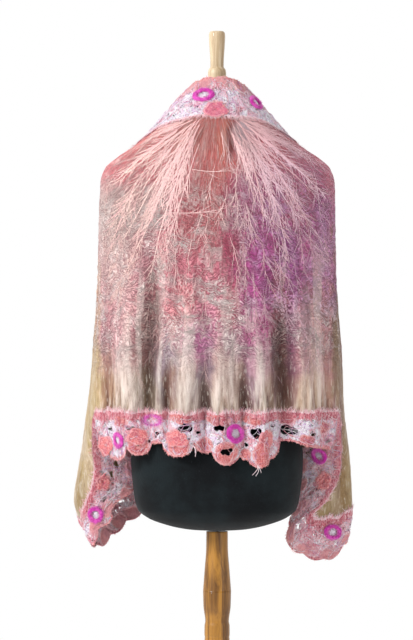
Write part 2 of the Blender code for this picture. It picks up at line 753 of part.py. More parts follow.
# The side laces turn down beside the form to the scarf's corners.
left_places = np.linspace(0, 12, 25)
left_seam = finer(back_grid[-1, 0:13], 2)
left_inner = finer(back_grid[-3, 0:13] * 0.5 + back_grid[-3, 0:1] * 0.5, 2)
left_free = stack(*[read(LEFT_EDGE, "column", axis, left_places) for axis in "xyz"])
left_free = scallop(left_seam, left_free, 0.042, 0.008, 0.2)
left_free[-1] = hem_free[0]
lace_grids["left_side"] = band(
    left_seam, left_inner, left_free, FOUR_ROWS, SEAM_GAP, -0.004, (0.0014, 0.0010)
)
right_places = np.linspace(76, 84, 25)
right_seam = finer(back_grid[-1, 76:85], 3)
right_inner = finer(back_grid[-3, 76:85] * 0.5 + back_grid[-3, 88:89] * 0.5, 3)
right_free = stack(*[read(RIGHT_EDGE, "column", axis, right_places) for axis in "xyz"])
right_free = scallop(right_seam, right_free, 0.044, 0.008, 0.1)
right_free[0] = hem_free[-1]
lace_grids["right_side"] = band(
    right_seam, right_inner, right_free, FOUR_ROWS, SEAM_GAP, -0.004, (0.0010, 0.0014)
)

# The end laces go from the corners round to the open front.
left_end_seam = finer(left_grid[-1], 2)
left_end_u = np.linspace(1, 2, 25)
left_end_free = stack(*[read(LEFT_END_EDGE, "u", axis, left_end_u) for axis in "xyz"])
left_end_free = left_end_free * np.array([-1.0, 1.0, 1.0])
left_end_free = scallop(left_end_seam, left_end_free, 0.042, 0.007, 0.35)
left_end_free[0] = left_free[0]
lace_grids["left_end"] = band(
    left_end_seam, finer(left_grid[-2], 2), left_end_free, THREE_ROWS, SEAM_GAP, 0.003, (0.0014, 0.0010)
)
corner_u = read(LOWER_EDGE, "column", "u", np.arange(84, 89))
right_end_line = np.concatenate([back_grid[-1, 84:89], right_grid[-1, 1:]])
right_end_seam = finer(right_end_line, 2)
right_end_inner = finer(np.concatenate([back_grid[-3, 84:89], right_grid[-2, 1:]]), 2)
right_end_line_u = np.concatenate([corner_u, np.linspace(1, 2, 13)[1:]])
right_end_u = np.interp(np.linspace(0, 16, 33), np.arange(17), right_end_line_u)
right_end_free = stack(*[read(RIGHT_END_EDGE, "u", axis, right_end_u) for axis in "xyz"])
right_end_free = scallop(right_end_seam, right_end_free, 0.042, 0.007, 0.3)
right_end_free[0] = right_free[-1]
lace_grids["right_end"] = band(
    right_end_seam, right_end_inner, right_end_free, THREE_ROWS, SEAM_GAP, 0.003, (0.0014, 0.0016)
)

# The collar stands round the nape, and the front laces follow the open edges down.
collar_seam = back_grid[0, ::4]
collar_u = np.linspace(-1, 1, 23)
collar_top = read(COLLAR_EDGE, "u", "z", np.abs(collar_u))
collar_shares = np.array([0.014, 0.12, 0.40, 0.70, 1])[:, None]
collar_z = collar_seam[:, 2] * (1 - collar_shares) + collar_top * collar_shares
lace_grids["collar"] = drape(collar_u * np.ones_like(collar_z), collar_z)
for name, side, grid in (("left_front", -1, left_grid), ("right_front", 1, right_grid)):
    line = np.concatenate([grid[0], grid[1:, -1]])
    seam = finer(line, 2)
    free_share = lengths(seam) / lengths(seam)[-1]
    free = stack(*[read(FRONT_EDGE, "share", axis, free_share) for axis in "xyz"])
    free = free * np.array([side, 1.0, 1.0])
    free = scallop(seam, free, 0.046, 0.007, 0.2 if side < 0 else 0.55)
    free[0] = lace_grids["collar"][-1, 0 if side < 0 else -1]
    free[-1] = left_end_free[-1] if side < 0 else right_end_free[-1]
    inner = finer(np.concatenate([grid[1], grid[1:, -2]]), 2)
    lace_grids[name] = band(seam, inner, free, THREE_ROWS, SEAM_GAP, 0.002, (0.0012, 0.0026))

hem_gaps = []
for gap_x, gap_row, gap_open in HEM_GAPS[1:]:
    nearest = int(np.argmin(np.abs((hem_seam[1:, 0] + hem_seam[:-1, 0]) / 2 - gap_x)))
    hem_gaps.append((nearest, gap_row, gap_open))

# How often a gap repeats along each of the other laces, and where it lies across them.
GAP_REPEATS = (
    ("band", "first", "every", "across", "open"),
    ("collar", 2, 3, 1, 0.75),
    ("left_side", 2, 4, 1, 0.75),
    ("left_side", 4, 4, 2, 0.70),
    ("right_side", 3, 5, 1, 0.75),
    ("right_side", 5, 5, 2, 0.70),
    ("left_end", 2, 4, 1, 0.70),
    ("right_end", 3, 4, 1, 0.70),
    ("left_front", 3, 5, 1, 0.70),
    ("right_front", 2, 5, 1, 0.70),
)

for name, grid in lace_grids.items():
    gaps = hem_gaps if name == "hem_back" else []
    for gap_band, first, every, row, share in GAP_REPEATS[1:]:
        if gap_band == name:
            gaps = gaps + [(place, row, share) for place in range(first, grid.shape[1] - 2, every)]
    sheet("lace_" + name, grid, LACE_WALL, lace_finish, gaps)

counts = {}
for trim_band, kind, along, across, half_long, half_across, faces in TRIMS[1:]:
    counts[kind] = counts.get(kind, 0) + 1
    trim_finish = ring_finish if kind == "ring" else rosette_finish
    trim_name = "felt_" + kind + "_" + format(counts[kind], "02d")
    trim(trim_name, lace_grids[trim_band], kind, along, across, half_long, half_across, faces, trim_finish)
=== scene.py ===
import json
import math

import bpy
import numpy as np
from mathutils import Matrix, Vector
from mathutils.kdtree import KDTree

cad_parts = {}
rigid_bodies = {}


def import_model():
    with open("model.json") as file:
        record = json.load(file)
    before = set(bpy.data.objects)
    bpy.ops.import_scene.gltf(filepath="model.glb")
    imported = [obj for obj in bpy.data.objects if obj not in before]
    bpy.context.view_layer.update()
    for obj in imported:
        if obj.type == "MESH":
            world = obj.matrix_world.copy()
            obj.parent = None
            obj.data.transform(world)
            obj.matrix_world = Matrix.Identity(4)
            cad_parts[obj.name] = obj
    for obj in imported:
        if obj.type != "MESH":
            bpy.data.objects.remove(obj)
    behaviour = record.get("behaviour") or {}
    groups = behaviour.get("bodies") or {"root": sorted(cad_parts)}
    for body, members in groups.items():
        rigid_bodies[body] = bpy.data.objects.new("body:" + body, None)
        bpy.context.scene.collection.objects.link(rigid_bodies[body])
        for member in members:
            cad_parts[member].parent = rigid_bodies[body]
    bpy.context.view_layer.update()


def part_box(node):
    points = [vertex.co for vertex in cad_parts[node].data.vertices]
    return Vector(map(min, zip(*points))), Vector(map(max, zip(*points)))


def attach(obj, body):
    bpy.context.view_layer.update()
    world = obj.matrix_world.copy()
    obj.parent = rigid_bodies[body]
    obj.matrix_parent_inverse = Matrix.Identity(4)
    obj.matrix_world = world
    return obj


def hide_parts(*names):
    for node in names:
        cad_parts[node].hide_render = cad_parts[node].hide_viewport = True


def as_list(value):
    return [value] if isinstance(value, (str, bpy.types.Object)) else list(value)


for thing in list(bpy.data.objects):
    bpy.data.objects.remove(thing, do_unlink=True)
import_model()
print("frame loaded")


def linear(red, green, blue):
    # a colour as a paint chart gives it, 0 to 255, in the light values that shaders use
    parts = [v / 255 for v in (red, green, blue)]
    return tuple(v / 12.92 if v < 0.04045 else ((v + 0.055) / 1.055) ** 2.4 for v in parts)


def column(table, name):
    # one column of a table whose first row names them
    index = table[0].index(name)
    return np.array([row[index] for row in table[1:]], float)


def smooth(xs, ys, at):
    # a smooth curve through the points that never overshoots them
    if xs[0] > xs[-1]:
        xs, ys = xs[::-1], ys[::-1]
    steps = np.diff(xs)
    slopes = np.diff(ys) / steps
    tangents = np.zeros(len(xs))
    tangents[0], tangents[-1] = slopes[0], slopes[-1]
    before, after = slopes[:-1], slopes[1:]
    weight = 2 * before * after / np.where(np.abs(before + after) < 1e-12, 1e-12, before + after)
    tangents[1:-1] = np.where(before * after > 0, weight, 0)
    at = np.asarray(at, float)
    index = np.clip(np.searchsorted(xs, at, "right") - 1, 0, len(xs) - 2)
    t = np.clip((at - xs[index]) / steps[index], 0, 1)
    start = ys[index] * (1 + 2 * t) * (1 - t) ** 2 + tangents[index] * steps[index] * t * (1 - t) ** 2
    end = ys[index + 1] * t * t * (3 - 2 * t) - tangents[index + 1] * steps[index] * t * t * (1 - t)
    return start + end


def read(table, key, name, at):
    # a table's named column at places along its key column
    return smooth(column(table, key), column(table, name), at)


def ease(value):
    # 0 below 0, 1 above 1, and smooth between
    t = np.clip(value, 0, 1)
    return t * t * (3 - 2 * t)


def stack(x, y, z):
    # points from separate coordinates that broadcast together
    return np.stack(np.broadcast_arrays(x, y, z), axis=-1)


def unit(vectors):
    return vectors / np.maximum(np.linalg.norm(vectors, axis=-1, keepdims=True), 1e-9)


def softNoise(x, y, seed):
    # soft bumps about one unit wide, from -1 to 1
    size = 61
    table = np.random.default_rng(seed).random((size, size)) * 2 - 1
    x, y = np.broadcast_arrays(np.asarray(x, float), np.asarray(y, float))
    left, low = np.floor(x).astype(int), np.floor(y).astype(int)
    u, v = ease(x - left), ease(y - low)
    corner = lambda a, b: table[(left + a) % size, (low + b) % size]
    near = corner(0, 0) * (1 - u) + corner(1, 0) * u
    far = corner(0, 1) * (1 - u) + corner(1, 1) * u
    return near * (1 - v) + far * v


def sample(grid, along, across):
    # the points of a grid at places between its own
    rows, columns = grid.shape[:2]
    along = np.clip(np.asarray(along, float), 0, columns - 1.0001)
    across = np.clip(np.asarray(across, float), 0, rows - 1.0001)
    i, j = across.astype(int), along.astype(int)
    v, u = (across - i)[..., None], (along - j)[..., None]
    near = grid[i, j] * (1 - u) + grid[i, j + 1] * u
    far = grid[i + 1, j] * (1 - u) + grid[i + 1, j + 1] * u
    return near * (1 - v) + far * v


def lengths(points):
    # the way along a line up to each of its points
    return np.concatenate([[0], np.cumsum(np.linalg.norm(np.diff(points, axis=0), axis=1))])


def normals(grid):
    # the directions that a draped grid faces, away from the form
    facing = unit(np.cross(np.gradient(grid, axis=1), np.gradient(grid, axis=0)))
    outward = grid * np.array([1.0, 1.0, 0.0]) + np.array([0.0, 0.0, 0.02])
    return facing if (facing * outward).sum() > 0 else -facing


class Wire:
    # one socket of a finish, so that shader maths reads as arithmetic
    def __init__(self, finish, socket):
        self.finish = finish
        self.socket = socket

    def maths(self, kind, first, second):
        # first and second are wires or plain numbers
        return self.finish.node("ShaderNodeMath", {"operation": kind}, {0: first, 1: second})

    def __add__(self, other):
        return self.maths("ADD", self, other)

    def __radd__(self, other):
        return self.maths("ADD", other, self)

    def __sub__(self, other):
        return self.maths("SUBTRACT", self, other)

    def __rsub__(self, other):
        return self.maths("SUBTRACT", other, self)

    def __mul__(self, other):
        return self.maths("MULTIPLY", self, other)

    def __rmul__(self, other):
        return self.maths("MULTIPLY", other, self)

    def __truediv__(self, other):
        return self.maths("DIVIDE", self, other)

    def __rtruediv__(self, other):
        return self.maths("DIVIDE", other, self)


class Finish:
    # a material and the few ways in which its nodes are made
    def __init__(self, name, holder=None):
        self.material = (bpy.data.materials if holder is None else holder).new(name)
        self.material.use_nodes = True
        self.tree = self.material.node_tree
        self.tree.nodes.clear()

    def node(self, kind, settings=None, sockets=None, out=0):
        made = self.tree.nodes.new(kind)
        for key, value in (settings or {}).items():
            if key == "stops":
                ramp = made.color_ramp
                while len(ramp.elements) < len(value):
                    ramp.elements.new(0.5)
                for element, (place, colour) in zip(ramp.elements, value):
                    element.position = place
                    element.color = (*colour, 1)
            else:
                setattr(made, key, value)
        for key, value in (sockets or {}).items():
            target = made.inputs[key]
            if isinstance(value, Wire):
                self.tree.links.new(value.socket, target)
            elif isinstance(value, tuple) and target.type == "RGBA" and len(value) == 3:
                target.default_value = (*value, 1)
            else:
                target.default_value = value
        return Wire(self, made.outputs[out])

    def place(self):
        return self.node("ShaderNodeTexCoord", {}, {}, "Object")

    def split(self, vector):
        first = self.node("ShaderNodeSeparateXYZ", {}, {0: vector})
        parts = first.socket.node.outputs
        return [Wire(self, parts[i]) for i in range(3)]

    def joined(self, x, y, z):
        return self.node("ShaderNodeCombineXYZ", {}, {0: x, 1: y, 2: z})

    def stretched(self, vector, scale):
        return self.node("ShaderNodeVectorMath", {"operation": "MULTIPLY"}, {0: vector, 1: scale})

    def noise(self, vector, scale, detail=3.0, rough=0.55, bent=0.0):
        sockets = {"Vector": vector, "Scale": scale, "Detail": detail, "Roughness": rough, "Distortion": bent}
        return self.node("ShaderNodeTexNoise", {}, sockets)

    def step(self, value, low, high, start=0.0, end=1.0):
        sockets = {"Value": value, "From Min": low, "From Max": high, "To Min": start, "To Max": end}
        return self.node("ShaderNodeMapRange", {"interpolation_type": "SMOOTHSTEP"}, sockets)

    def wave(self, vector, direction, scale, bent, detail, rough=0.5):
        # soft parallel lines across one axis
        sockets = {"Vector": vector, "Scale": scale, "Distortion": bent, "Detail": detail}
        sockets["Detail Roughness"] = rough
        return self.node("ShaderNodeTexWave", {"bands_direction": direction}, sockets, "Fac")

    def mix(self, first, second, factor, blend="MIX"):
        settings = {"data_type": "RGBA", "blend_type": blend}
        return self.node("ShaderNodeMix", settings, {0: factor, 6: first, 7: second}, 2)

    def darken(self, colour, tone, share):
        return self.mix(colour, tone, share, "MULTIPLY")

    def paint(self, layers, follows, colour=None):
        # chart colours over one another: colour, what it follows, from where to where, its share;
        # with no colour given, the first row is the ground
        if colour is None:
            colour, layers = linear(*layers[0]), layers[1:]
        for chart, name, low, high, share in layers:
            colour = self.mix(colour, linear(*chart), self.step(follows[name], low, high) * share)
        return colour

    def read(self, name):
        return self.node("ShaderNodeAttribute", {"attribute_name": name}, {}, "Fac")

    def bump(self, height, strength, distance):
        return self.node("ShaderNodeBump", {}, {"Height": height, "Strength": strength, "Distance": distance})

    def close(self, colour, roughness, normal=None, alpha=None, **fixed):
        sockets = {"Base Color": colour, "Roughness": roughness}
        if normal is not None:
            sockets["Normal"] = normal
        if alpha is not None:
            sockets["Alpha"] = alpha
        names = {"sheen": "Sheen Weight", "gloss": "Specular IOR Level", "coat": "Coat Weight"}
        for key, value in fixed.items():
            sockets[names[key]] = value
        shader = self.node("ShaderNodeBsdfPrincipled", {}, sockets)
        output = self.tree.nodes.new("ShaderNodeOutputMaterial")
        self.tree.links.new(shader.socket, output.inputs["Surface"])
        return self.material


def makeMesh(name, points, faces, material, numbers=None):
    # a mesh object from plain arrays, with any numbers that its finish reads
    points = np.asarray(points, float).reshape(-1, 3)
    faces = np.asarray(faces, int)
    data = bpy.data.meshes.new(name)
    data.vertices.add(len(points))
    data.vertices.foreach_set("co", points.ravel())
    data.loops.add(faces.size)
    data.loops.foreach_set("vertex_index", faces.ravel())
    data.polygons.add(len(faces))
    data.polygons.foreach_set("loop_start", np.arange(0, faces.size, faces.shape[1]))
    data.polygons.foreach_set("use_smooth", np.ones(len(faces), bool))
    data.update(calc_edges=True)
    for key, values in (numbers or {}).items():
        kept = data.attributes.new(key, "FLOAT", "POINT")
        kept.data.foreach_set("value", np.asarray(values, float).ravel())
    data.materials.append(material)
    thing = bpy.data.objects.new(name, data)
    bpy.context.scene.collection.objects.link(thing)
    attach(thing, "root")
    return thing


def gridFaces(rows, columns, keep=None, closed=False, looped=False):
    # the quads of a grid of points, less the cells that keep leaves out; closed joins its last
    # column to its first, and looped its last row
    i, j = np.meshgrid(
        np.arange(rows if looped else rows - 1), np.arange(columns if closed else columns - 1), indexing="ij")
    here, below, onward = i * columns, (i + 1) % rows * columns, (j + 1) % columns
    quads = np.stack([here + j, here + onward, below + onward, below + j], axis=-1)
    return quads.reshape(-1, 4) if keep is None else quads[keep]


def repeated(one, count, points):
    # the faces of many like parts in one mesh
    return (one[None] + (np.arange(count) * points)[:, None, None]).reshape(-1, 4)


def strips(name, paths, sides, widths, material, shades, crown=0.0):
    # many narrow ribbons as one mesh; paths and sides are ribbon by point by xyz
    count, steps = paths.shape[:2]
    wide = sides * widths[..., None]
    rows, edges = [paths - wide, paths + wide], [1.0, 1.0]
    if crown:
        facing = unit(np.cross(np.gradient(paths, axis=1), sides))
        rows, edges = [paths - wide, paths + facing * crown, paths + wide], [1.0, 0.0, 1.0]
    across = len(rows)
    faces = repeated(gridFaces(steps, across), count, steps * across)
    edge = np.broadcast_to(np.array(edges), (count, steps, across))
    shade = np.broadcast_to(shades[:, None, None], edge.shape)
    return makeMesh(name, np.stack(rows, axis=2), faces, material, {"edge": edge, "shade": shade})


def threads(name, paths, radius, sides, material, shades):
    # many fine round threads as one mesh
    count, steps = paths.shape[:2]
    ahead = unit(np.gradient(paths, axis=1))
    first = unit(np.cross(ahead, np.array([0.13, 0.21, 0.97])))
    second = np.cross(ahead, first)
    turn = np.arange(sides) * 2 * math.pi / sides
    radius = np.broadcast_to(radius, (count, steps))[..., None, None]
    ring = first[:, :, None] * np.cos(turn)[:, None] + second[:, :, None] * np.sin(turn)[:, None]
    faces = repeated(gridFaces(steps, sides, closed=True), count, steps * sides)
    shade = np.broadcast_to(shades[:, None, None], (count, steps, sides))
    return makeMesh(name, paths[:, :, None] + ring * radius, faces, material, {"shade": shade})


# The silk: the same draped surface as its solids, with finer gathers, creases and felted wisps.
silkValues = {
    "backColumns": 240,
    "frontColumns": 84,
    "rows": 216,
    "nearSplit": 0.78,
    "levels": (
        ("z", "left", "right", "back", "sideY", "front", "innerX", "tuckLeft", "tuckRight"),
        (1.54, 0.051, 0.051, 0.063, 0.0, 0.054, 0.02, 0.0, 0.0),
        (1.503, 0.059, 0.059, 0.071, 0.0, 0.06, 0.03, 0.0, 0.0),
        (1.481, 0.079, 0.079, 0.079, 0.0, 0.064, 0.04, 0.0, 0.0),
        (1.458, 0.103, 0.103, 0.089, 0.0, 0.07, 0.055, 0.0, 0.0),
        (1.436, 0.122, 0.122, 0.097, 0.0, 0.077, 0.07, 0.0, 0.0),
        (1.413, 0.149, 0.15, 0.106, 0.0, 0.085, 0.08, 0.0, 0.0),
        (1.39, 0.183, 0.185, 0.112, 0.0, 0.093, 0.087, 0.0, 0.0),
        (1.372, 0.202, 0.204, 0.118, 0.001, 0.1, 0.091, 0.0, 0.0),
        (1.346, 0.21, 0.212, 0.124, 0.003, 0.112, 0.095, 0.0, 0.0),
        (1.217, 0.214, 0.214, 0.136, 0.01, 0.143, 0.1, 0.0, 0.0),
        (1.134, 0.214, 0.216, 0.137, 0.012, 0.15, 0.098, 0.0, 0.0),
        (1.044, 0.221, 0.222, 0.135, 0.015, 0.15, 0.096, 0.0, 0.0),
        (0.954, 0.229, 0.227, 0.13, 0.019, 0.15, 0.094, 0.0, 0.0),
        (0.925, 0.232, 0.23, 0.126, 0.022, 0.15, 0.093, 0.0, 0.0),
        (0.87, 0.239, 0.237, 0.05, 0.03, 0.15, 0.092, 0.011, 0.009),
        (0.82, 0.248, 0.241, 0.002, 0.04, 0.15, 0.09, 0.037, 0.03),
        (0.774, 0.2545, 0.243, 0.0, 0.043, 0.15, 0.088, 0.048, 0.099),
        (0.735, 0.244, 0.241, 0.0, 0.046, 0.15, 0.088, 0.01, 0.206),
        (0.7, 0.232, 0.236, 0.0, 0.048, 0.15, 0.088, 0.0, 0.21),
    ),
    "topEdge": (
        ("u", "z"),
        (0.0, 1.468), (0.3, 1.466), (0.6, 1.456), (1.0, 1.43), (1.3, 1.402), (1.6, 1.36), (1.85, 1.305),
        (2.0, 1.25),
    ),
    "lowerEdge": (
        ("place", "u", "z"),
        (0, -1.0, 0.725), (3, -0.945, 0.75), (6, -0.893, 0.786), (8, -0.862, 0.83), (10, -0.826, 0.882),
        (12, -0.78, 0.932), (44, 0.0, 0.93), (76, 0.78, 0.932), (78, 0.83, 0.88), (80, 0.87, 0.828),
        (82, 0.9, 0.775), (84, 0.925, 0.738), (86, 0.962, 0.734), (88, 1.0, 0.745),
    ),
    "frontLowerEdge": (
        ("u", "leftZ", "rightZ"),
        (1.0, 0.725, 0.745), (1.15, 0.742, 0.756), (1.3, 0.766, 0.772), (1.45, 0.79, 0.792),
        (1.6, 0.81, 0.812), (1.8, 0.832, 0.832), (2.0, 0.85, 0.846),
    ),
    # each large fold of the back, a trough or a ridge that runs up from the hem
    "folds": (
        ("x", "half", "depth", "top", "lean"),
        (-0.198, 0.012, -0.006, 1.13, 0.02), (-0.163, 0.016, 0.007, 1.2, 0.04),
        (-0.127, 0.017, -0.014, 1.24, 0.03), (-0.109, 0.008, 0.005, 1.1, 0.03),
        (-0.091, 0.008, -0.01, 1.08, 0.02), (-0.057, 0.02, 0.008, 1.2, 0.02),
        (-0.023, 0.01, -0.011, 1.06, 0.0), (0.006, 0.013, 0.006, 1.12, 0.0),
        (0.048, 0.012, -0.012, 1.07, -0.03), (0.076, 0.012, 0.006, 1.15, -0.04),
        (0.095, 0.006, -0.007, 1.03, -0.02), (0.12, 0.017, -0.014, 1.17, -0.03),
        (0.162, 0.018, 0.008, 1.23, -0.05), (0.196, 0.01, -0.006, 1.08, 0.02),
    ),
    "foldScale": 1.5,
    # the folds that fan out from the gathered nape, by their angle from straight down
    "rays": (
        ("angle", "spread", "length", "depth"),
        (-76, 6, 0.15, -0.003), (-62, 7, 0.2, 0.004), (-48, 6, 0.17, -0.004), (-35, 5, 0.15, 0.005),
        (-23, 5, 0.12, -0.008), (-12, 5, 0.15, 0.005), (-1, 5, 0.09, -0.006), (32, 6, 0.16, 0.006),
        (46, 6, 0.16, -0.004), (60, 7, 0.2, 0.004), (74, 6, 0.15, -0.003),
    ),
    "nape": (-0.004, 1.470),
    # creases, listed one by one: two ends across and up, half width, depth
    "creases": (
        (0.011, 1.458, 0.017, 1.39, 0.006, 0.007), (0.0255, 1.452, 0.0265, 1.392, 0.0036, -0.004),
        (-0.02, 1.45, -0.034, 1.4, 0.004, -0.003), (-0.193, 1.098, -0.168, 0.945, 0.0028, -0.0028),
        (-0.15, 1.12, -0.141, 0.965, 0.003, -0.002), (-0.112, 1.16, -0.108, 0.99, 0.0034, -0.0024),
        (-0.06, 1.21, -0.066, 1.08, 0.0034, -0.0018), (0.164, 1.03, 0.16, 0.975, 0.0024, -0.0026),
        (0.026, 1.1, 0.033, 0.96, 0.004, -0.0026), (0.06, 1.18, 0.064, 1.0, 0.0034, -0.002),
        (0.146, 1.24, 0.138, 1.04, 0.004, -0.0022), (0.186, 1.2, 0.196, 0.96, 0.0036, -0.002),
        (-0.02, 1.3, -0.012, 1.16, 0.004, 0.0018), (0.03, 1.26, 0.046, 1.12, 0.0036, 0.0018),
    ),
    "gathers": 44,
    "gatherDepth": 0.0060,
    "frontFoldDepth": 0.012,
}


def drape(u, z):
    # the draped surface: u is 0 at centre back, 1 at the outer fold and 2 at the front edge
    levels = silkValues["levels"]
    u, z = np.broadcast_arrays(np.asarray(u, float), np.asarray(z, float))
    side, reach = np.where(u < 0, -1.0, 1.0), np.abs(u)
    half = np.where(u < 0, read(levels, "z", "left", z), read(levels, "z", "right", z))
    tuck = np.where(u < 0, read(levels, "z", "tuckLeft", z), read(levels, "z", "tuckRight", z))
    back, sideY = read(levels, "z", "back", z), read(levels, "z", "sideY", z)
    front, inner = read(levels, "z", "front", z), read(levels, "z", "innerX", z)
    near, far = np.clip(reach, 0, 1) * math.pi / 2, np.clip(reach - 1, 0, 1) * math.pi / 2
    turned = np.clip((1 - reach) / (1 - silkValues["nearSplit"]), 0, 1)
    nearX, nearY = half * np.sin(near) - tuck * turned, sideY - (back + sideY) * np.cos(near)
    farX, farY = inner + (half - inner) * np.cos(far), sideY + (front - sideY) * np.sin(far)
    return stack(side * np.where(reach <= 1, nearX, farX), np.where(reach <= 1, nearY, farY), z)


def backFolds(grid, places):
    # how far the back stands in or out of its plain drape
    x, z = grid[..., 0], grid[..., 2]
    above = z - 0.932
    total = np.zeros_like(x)
    for centre, half, depth, top, lean in silkValues["folds"][1:]:
        middle = centre + lean * above + 0.0022 * softNoise(z * 21, centre * 90, 5)
        bell = np.exp(-(((x - middle) / half) ** 2))
        total += silkValues["foldScale"] * depth * bell * ease((top - z) / 0.16)
    chance = np.random.default_rng(11)
    for one in range(silkValues["gathers"]):  # short uneven gathers over the hem
        middle = 12.4 + 63.2 * (one + chance.uniform(-0.3, 0.3) + 0.5) / silkValues["gathers"]
        tall, half = chance.uniform(0.035, 0.120), chance.uniform(0.36, 0.62)
        depth = silkValues["gatherDepth"] * chance.uniform(0.6, 1.25)
        bell = np.exp(-(((places - middle - chance.uniform(-3, 3) * above / 0.1) / half) ** 2))
        total -= depth * bell * ease(1 - above / tall)
    napeX, napeZ = silkValues["nape"]
    away = np.hypot(x - napeX, z - napeZ)
    angle = np.degrees(np.arctan2(x - napeX, napeZ + 0.012 - z))
    for centre, spread, length, depth in silkValues["rays"][1:]:
        bell = np.exp(-(((angle - centre) / spread) ** 2))
        total += depth * bell * ease(away / 0.11) * ease((length - away) / (0.7 * length))
    for one in range(30):  # fine pulls between the main rays
        centre, spread = chance.uniform(-82, 82), chance.uniform(1.3, 2.6)
        length, depth = chance.uniform(0.07, 0.26), chance.uniform(-0.0016, 0.0016)
        bell = np.exp(-(((angle - centre) / spread) ** 2))
        total += depth * bell * ease(away / 0.08) * ease((length - away) / (0.6 * length))
    for x0, z0, x1, z1, half, depth in silkValues["creases"]:
        t = np.clip(((x - x0) * (x1 - x0) + (z - z0) * (z1 - z0)) / ((x1 - x0) ** 2 + (z1 - z0) ** 2), 0, 1)
        apart = np.hypot(x - x0 - t * (x1 - x0), z - z0 - t * (z1 - z0))
        total += depth * np.exp(-((apart / half) ** 2)) * np.sin(math.pi * np.clip(t, 0.02, 0.98)) ** 0.5
    reach = np.abs(places / 44 - 1)
    legs = ease((reach - 0.66) / 0.08) * ease((1.03 - z) / 0.08)
    return total * ease((1 - reach) / 0.10) * (1 - legs) * ease((grid[0:1, :, 2] - z) / 0.035)


def frontFolds(u, z):
    # how far the fronts stand in or out of their plain drape
    reach = np.abs(u) - 1
    wave = np.sin(2 * math.pi * 2.6 * reach + 0.9 * np.sin(6 * reach) + np.where(u < 0, 0.0, 0.8))
    fine = 0.22 * np.sin(2 * math.pi * 8.3 * reach + 1.7 * np.sin(4 * reach + 9 * z))
    return silkValues["frontFoldDepth"] * (wave + fine) * ease(reach / 0.15) * ease((1.33 - z) / 0.3)


def silkGrid():
    # one sheet from the left front edge, round the back, to the right front edge
    values = silkValues
    nf, nb, rows = values["frontColumns"], values["backColumns"], values["rows"]
    share = np.linspace(0, 1, rows + 1)[:, None]
    places = np.linspace(0, 88, nb + 1)
    reach = np.linspace(1, 2, nf + 1)
    topU = np.concatenate([-reach[:0:-1], places / 44 - 1, reach[1:]])
    topZ = read(values["topEdge"], "u", "z", np.abs(topU))
    lowU = np.concatenate([-reach[:0:-1], read(values["lowerEdge"], "place", "u", places), reach[1:]])
    lowZ = np.concatenate([
        read(values["frontLowerEdge"], "u", "leftZ", reach[:0:-1]),
        read(values["lowerEdge"], "place", "z", places),
        read(values["frontLowerEdge"], "u", "rightZ", reach[1:]),
    ])
    u, z = topU * (1 - share) + lowU * share, topZ * (1 - share) + lowZ * share
    grid = drape(u, z)
    back = slice(nf, nf + nb + 1)
    move = np.zeros(u.shape)
    move[:, back] = backFolds(grid[:, back], np.broadcast_to(places, (rows + 1, nb + 1)))
    move[:, :nf] = frontFolds(u[:, :nf], z[:, :nf])
    move[:, nf + nb + 1:] = frontFolds(u[:, nf + nb + 1:], z[:, nf + nb + 1:])
    across = np.arange(u.shape[1])[None] * 0.0026
    bent = 0.5 * softNoise(across * 18, z * 14, 24)
    crinkle = softNoise(across * 70 + z * 20, z * 130 + bent * 4, 21)
    crinkle = crinkle + 0.9 * softNoise(across * 60, z * 205 + bent * 9, 22)
    calm = 0.25 + 0.75 * np.exp(-(((z - 1.17) / 0.13) ** 2))
    edges = ease(np.minimum(share, 1 - share) / 0.03)
    move += 0.00085 * crinkle * calm * edges
    move += 0.0016 * softNoise(across * 14, z * 11, 23) * edges * ease((np.abs(np.abs(topU)[None] - 1)) / 0.1)
    return grid + normals(grid) * move[..., None], move


silkPoints, silkMoves = silkGrid()
silkFacing = normals(silkPoints)
silkRows, silkColumns = silkPoints.shape[:2]
print("silk surface", silkPoints.shape, silkPoints.reshape(-1, 3).min(0), silkPoints.reshape(-1, 3).max(0))


def columnOf(place):
    # the fine grid's column for a place across the back, 0 to 88
    return silkValues["frontColumns"] + np.asarray(place, float) / 88 * silkValues["backColumns"]


# two trees of the silk's points: the back seen straight on, and the whole sheet
backTree = KDTree(((silkRows + 1) // 2) * (silkValues["backColumns"] // 2 + 1))
for j in range(silkValues["frontColumns"], silkValues["frontColumns"] + silkValues["backColumns"] + 1, 2):
    for i in range(0, silkRows, 2):
        backTree.insert((silkPoints[i, j, 0], 0, silkPoints[i, j, 2]), i * silkColumns + j)
backTree.balance()
silkTree = KDTree(((silkRows + 1) // 2) * ((silkColumns + 1) // 2))
for i in range(0, silkRows, 2):
    for j in range(0, silkColumns, 2):
        silkTree.insert(silkPoints[i, j], i * silkColumns + j)
silkTree.balance()


def onBack(x, z):
    # the silk's column and row behind a point of the back, seen straight on
    x, z = np.asarray(x, float), np.asarray(z, float)
    found = np.array([backTree.find((a, 0, b))[1] for a, b in zip(x.ravel(), z.ravel())]).reshape(x.shape)
    row, col = (found // silkColumns).astype(float), (found % silkColumns).astype(float)
    for again in range(2):  # the nearest point of the tree, then two steps closer
        here = sample(silkPoints, col, row)
        byCol, byRow = sample(silkPoints, col + 1, row) - here, sample(silkPoints, col, row + 1) - here
        dx, dz = x - here[..., 0], z - here[..., 2]
        cross = byCol[..., 0] * byRow[..., 2] - byRow[..., 0] * byCol[..., 2]
        cross = np.where(np.abs(cross) < 1e-9, 1e-9, cross)
        col = col + np.clip((dx * byRow[..., 2] - dz * byRow[..., 0]) / cross, -1.5, 1.5)
        row = row + np.clip((dz * byCol[..., 0] - dx * byCol[..., 2]) / cross, -1.5, 1.5)
    return col, row


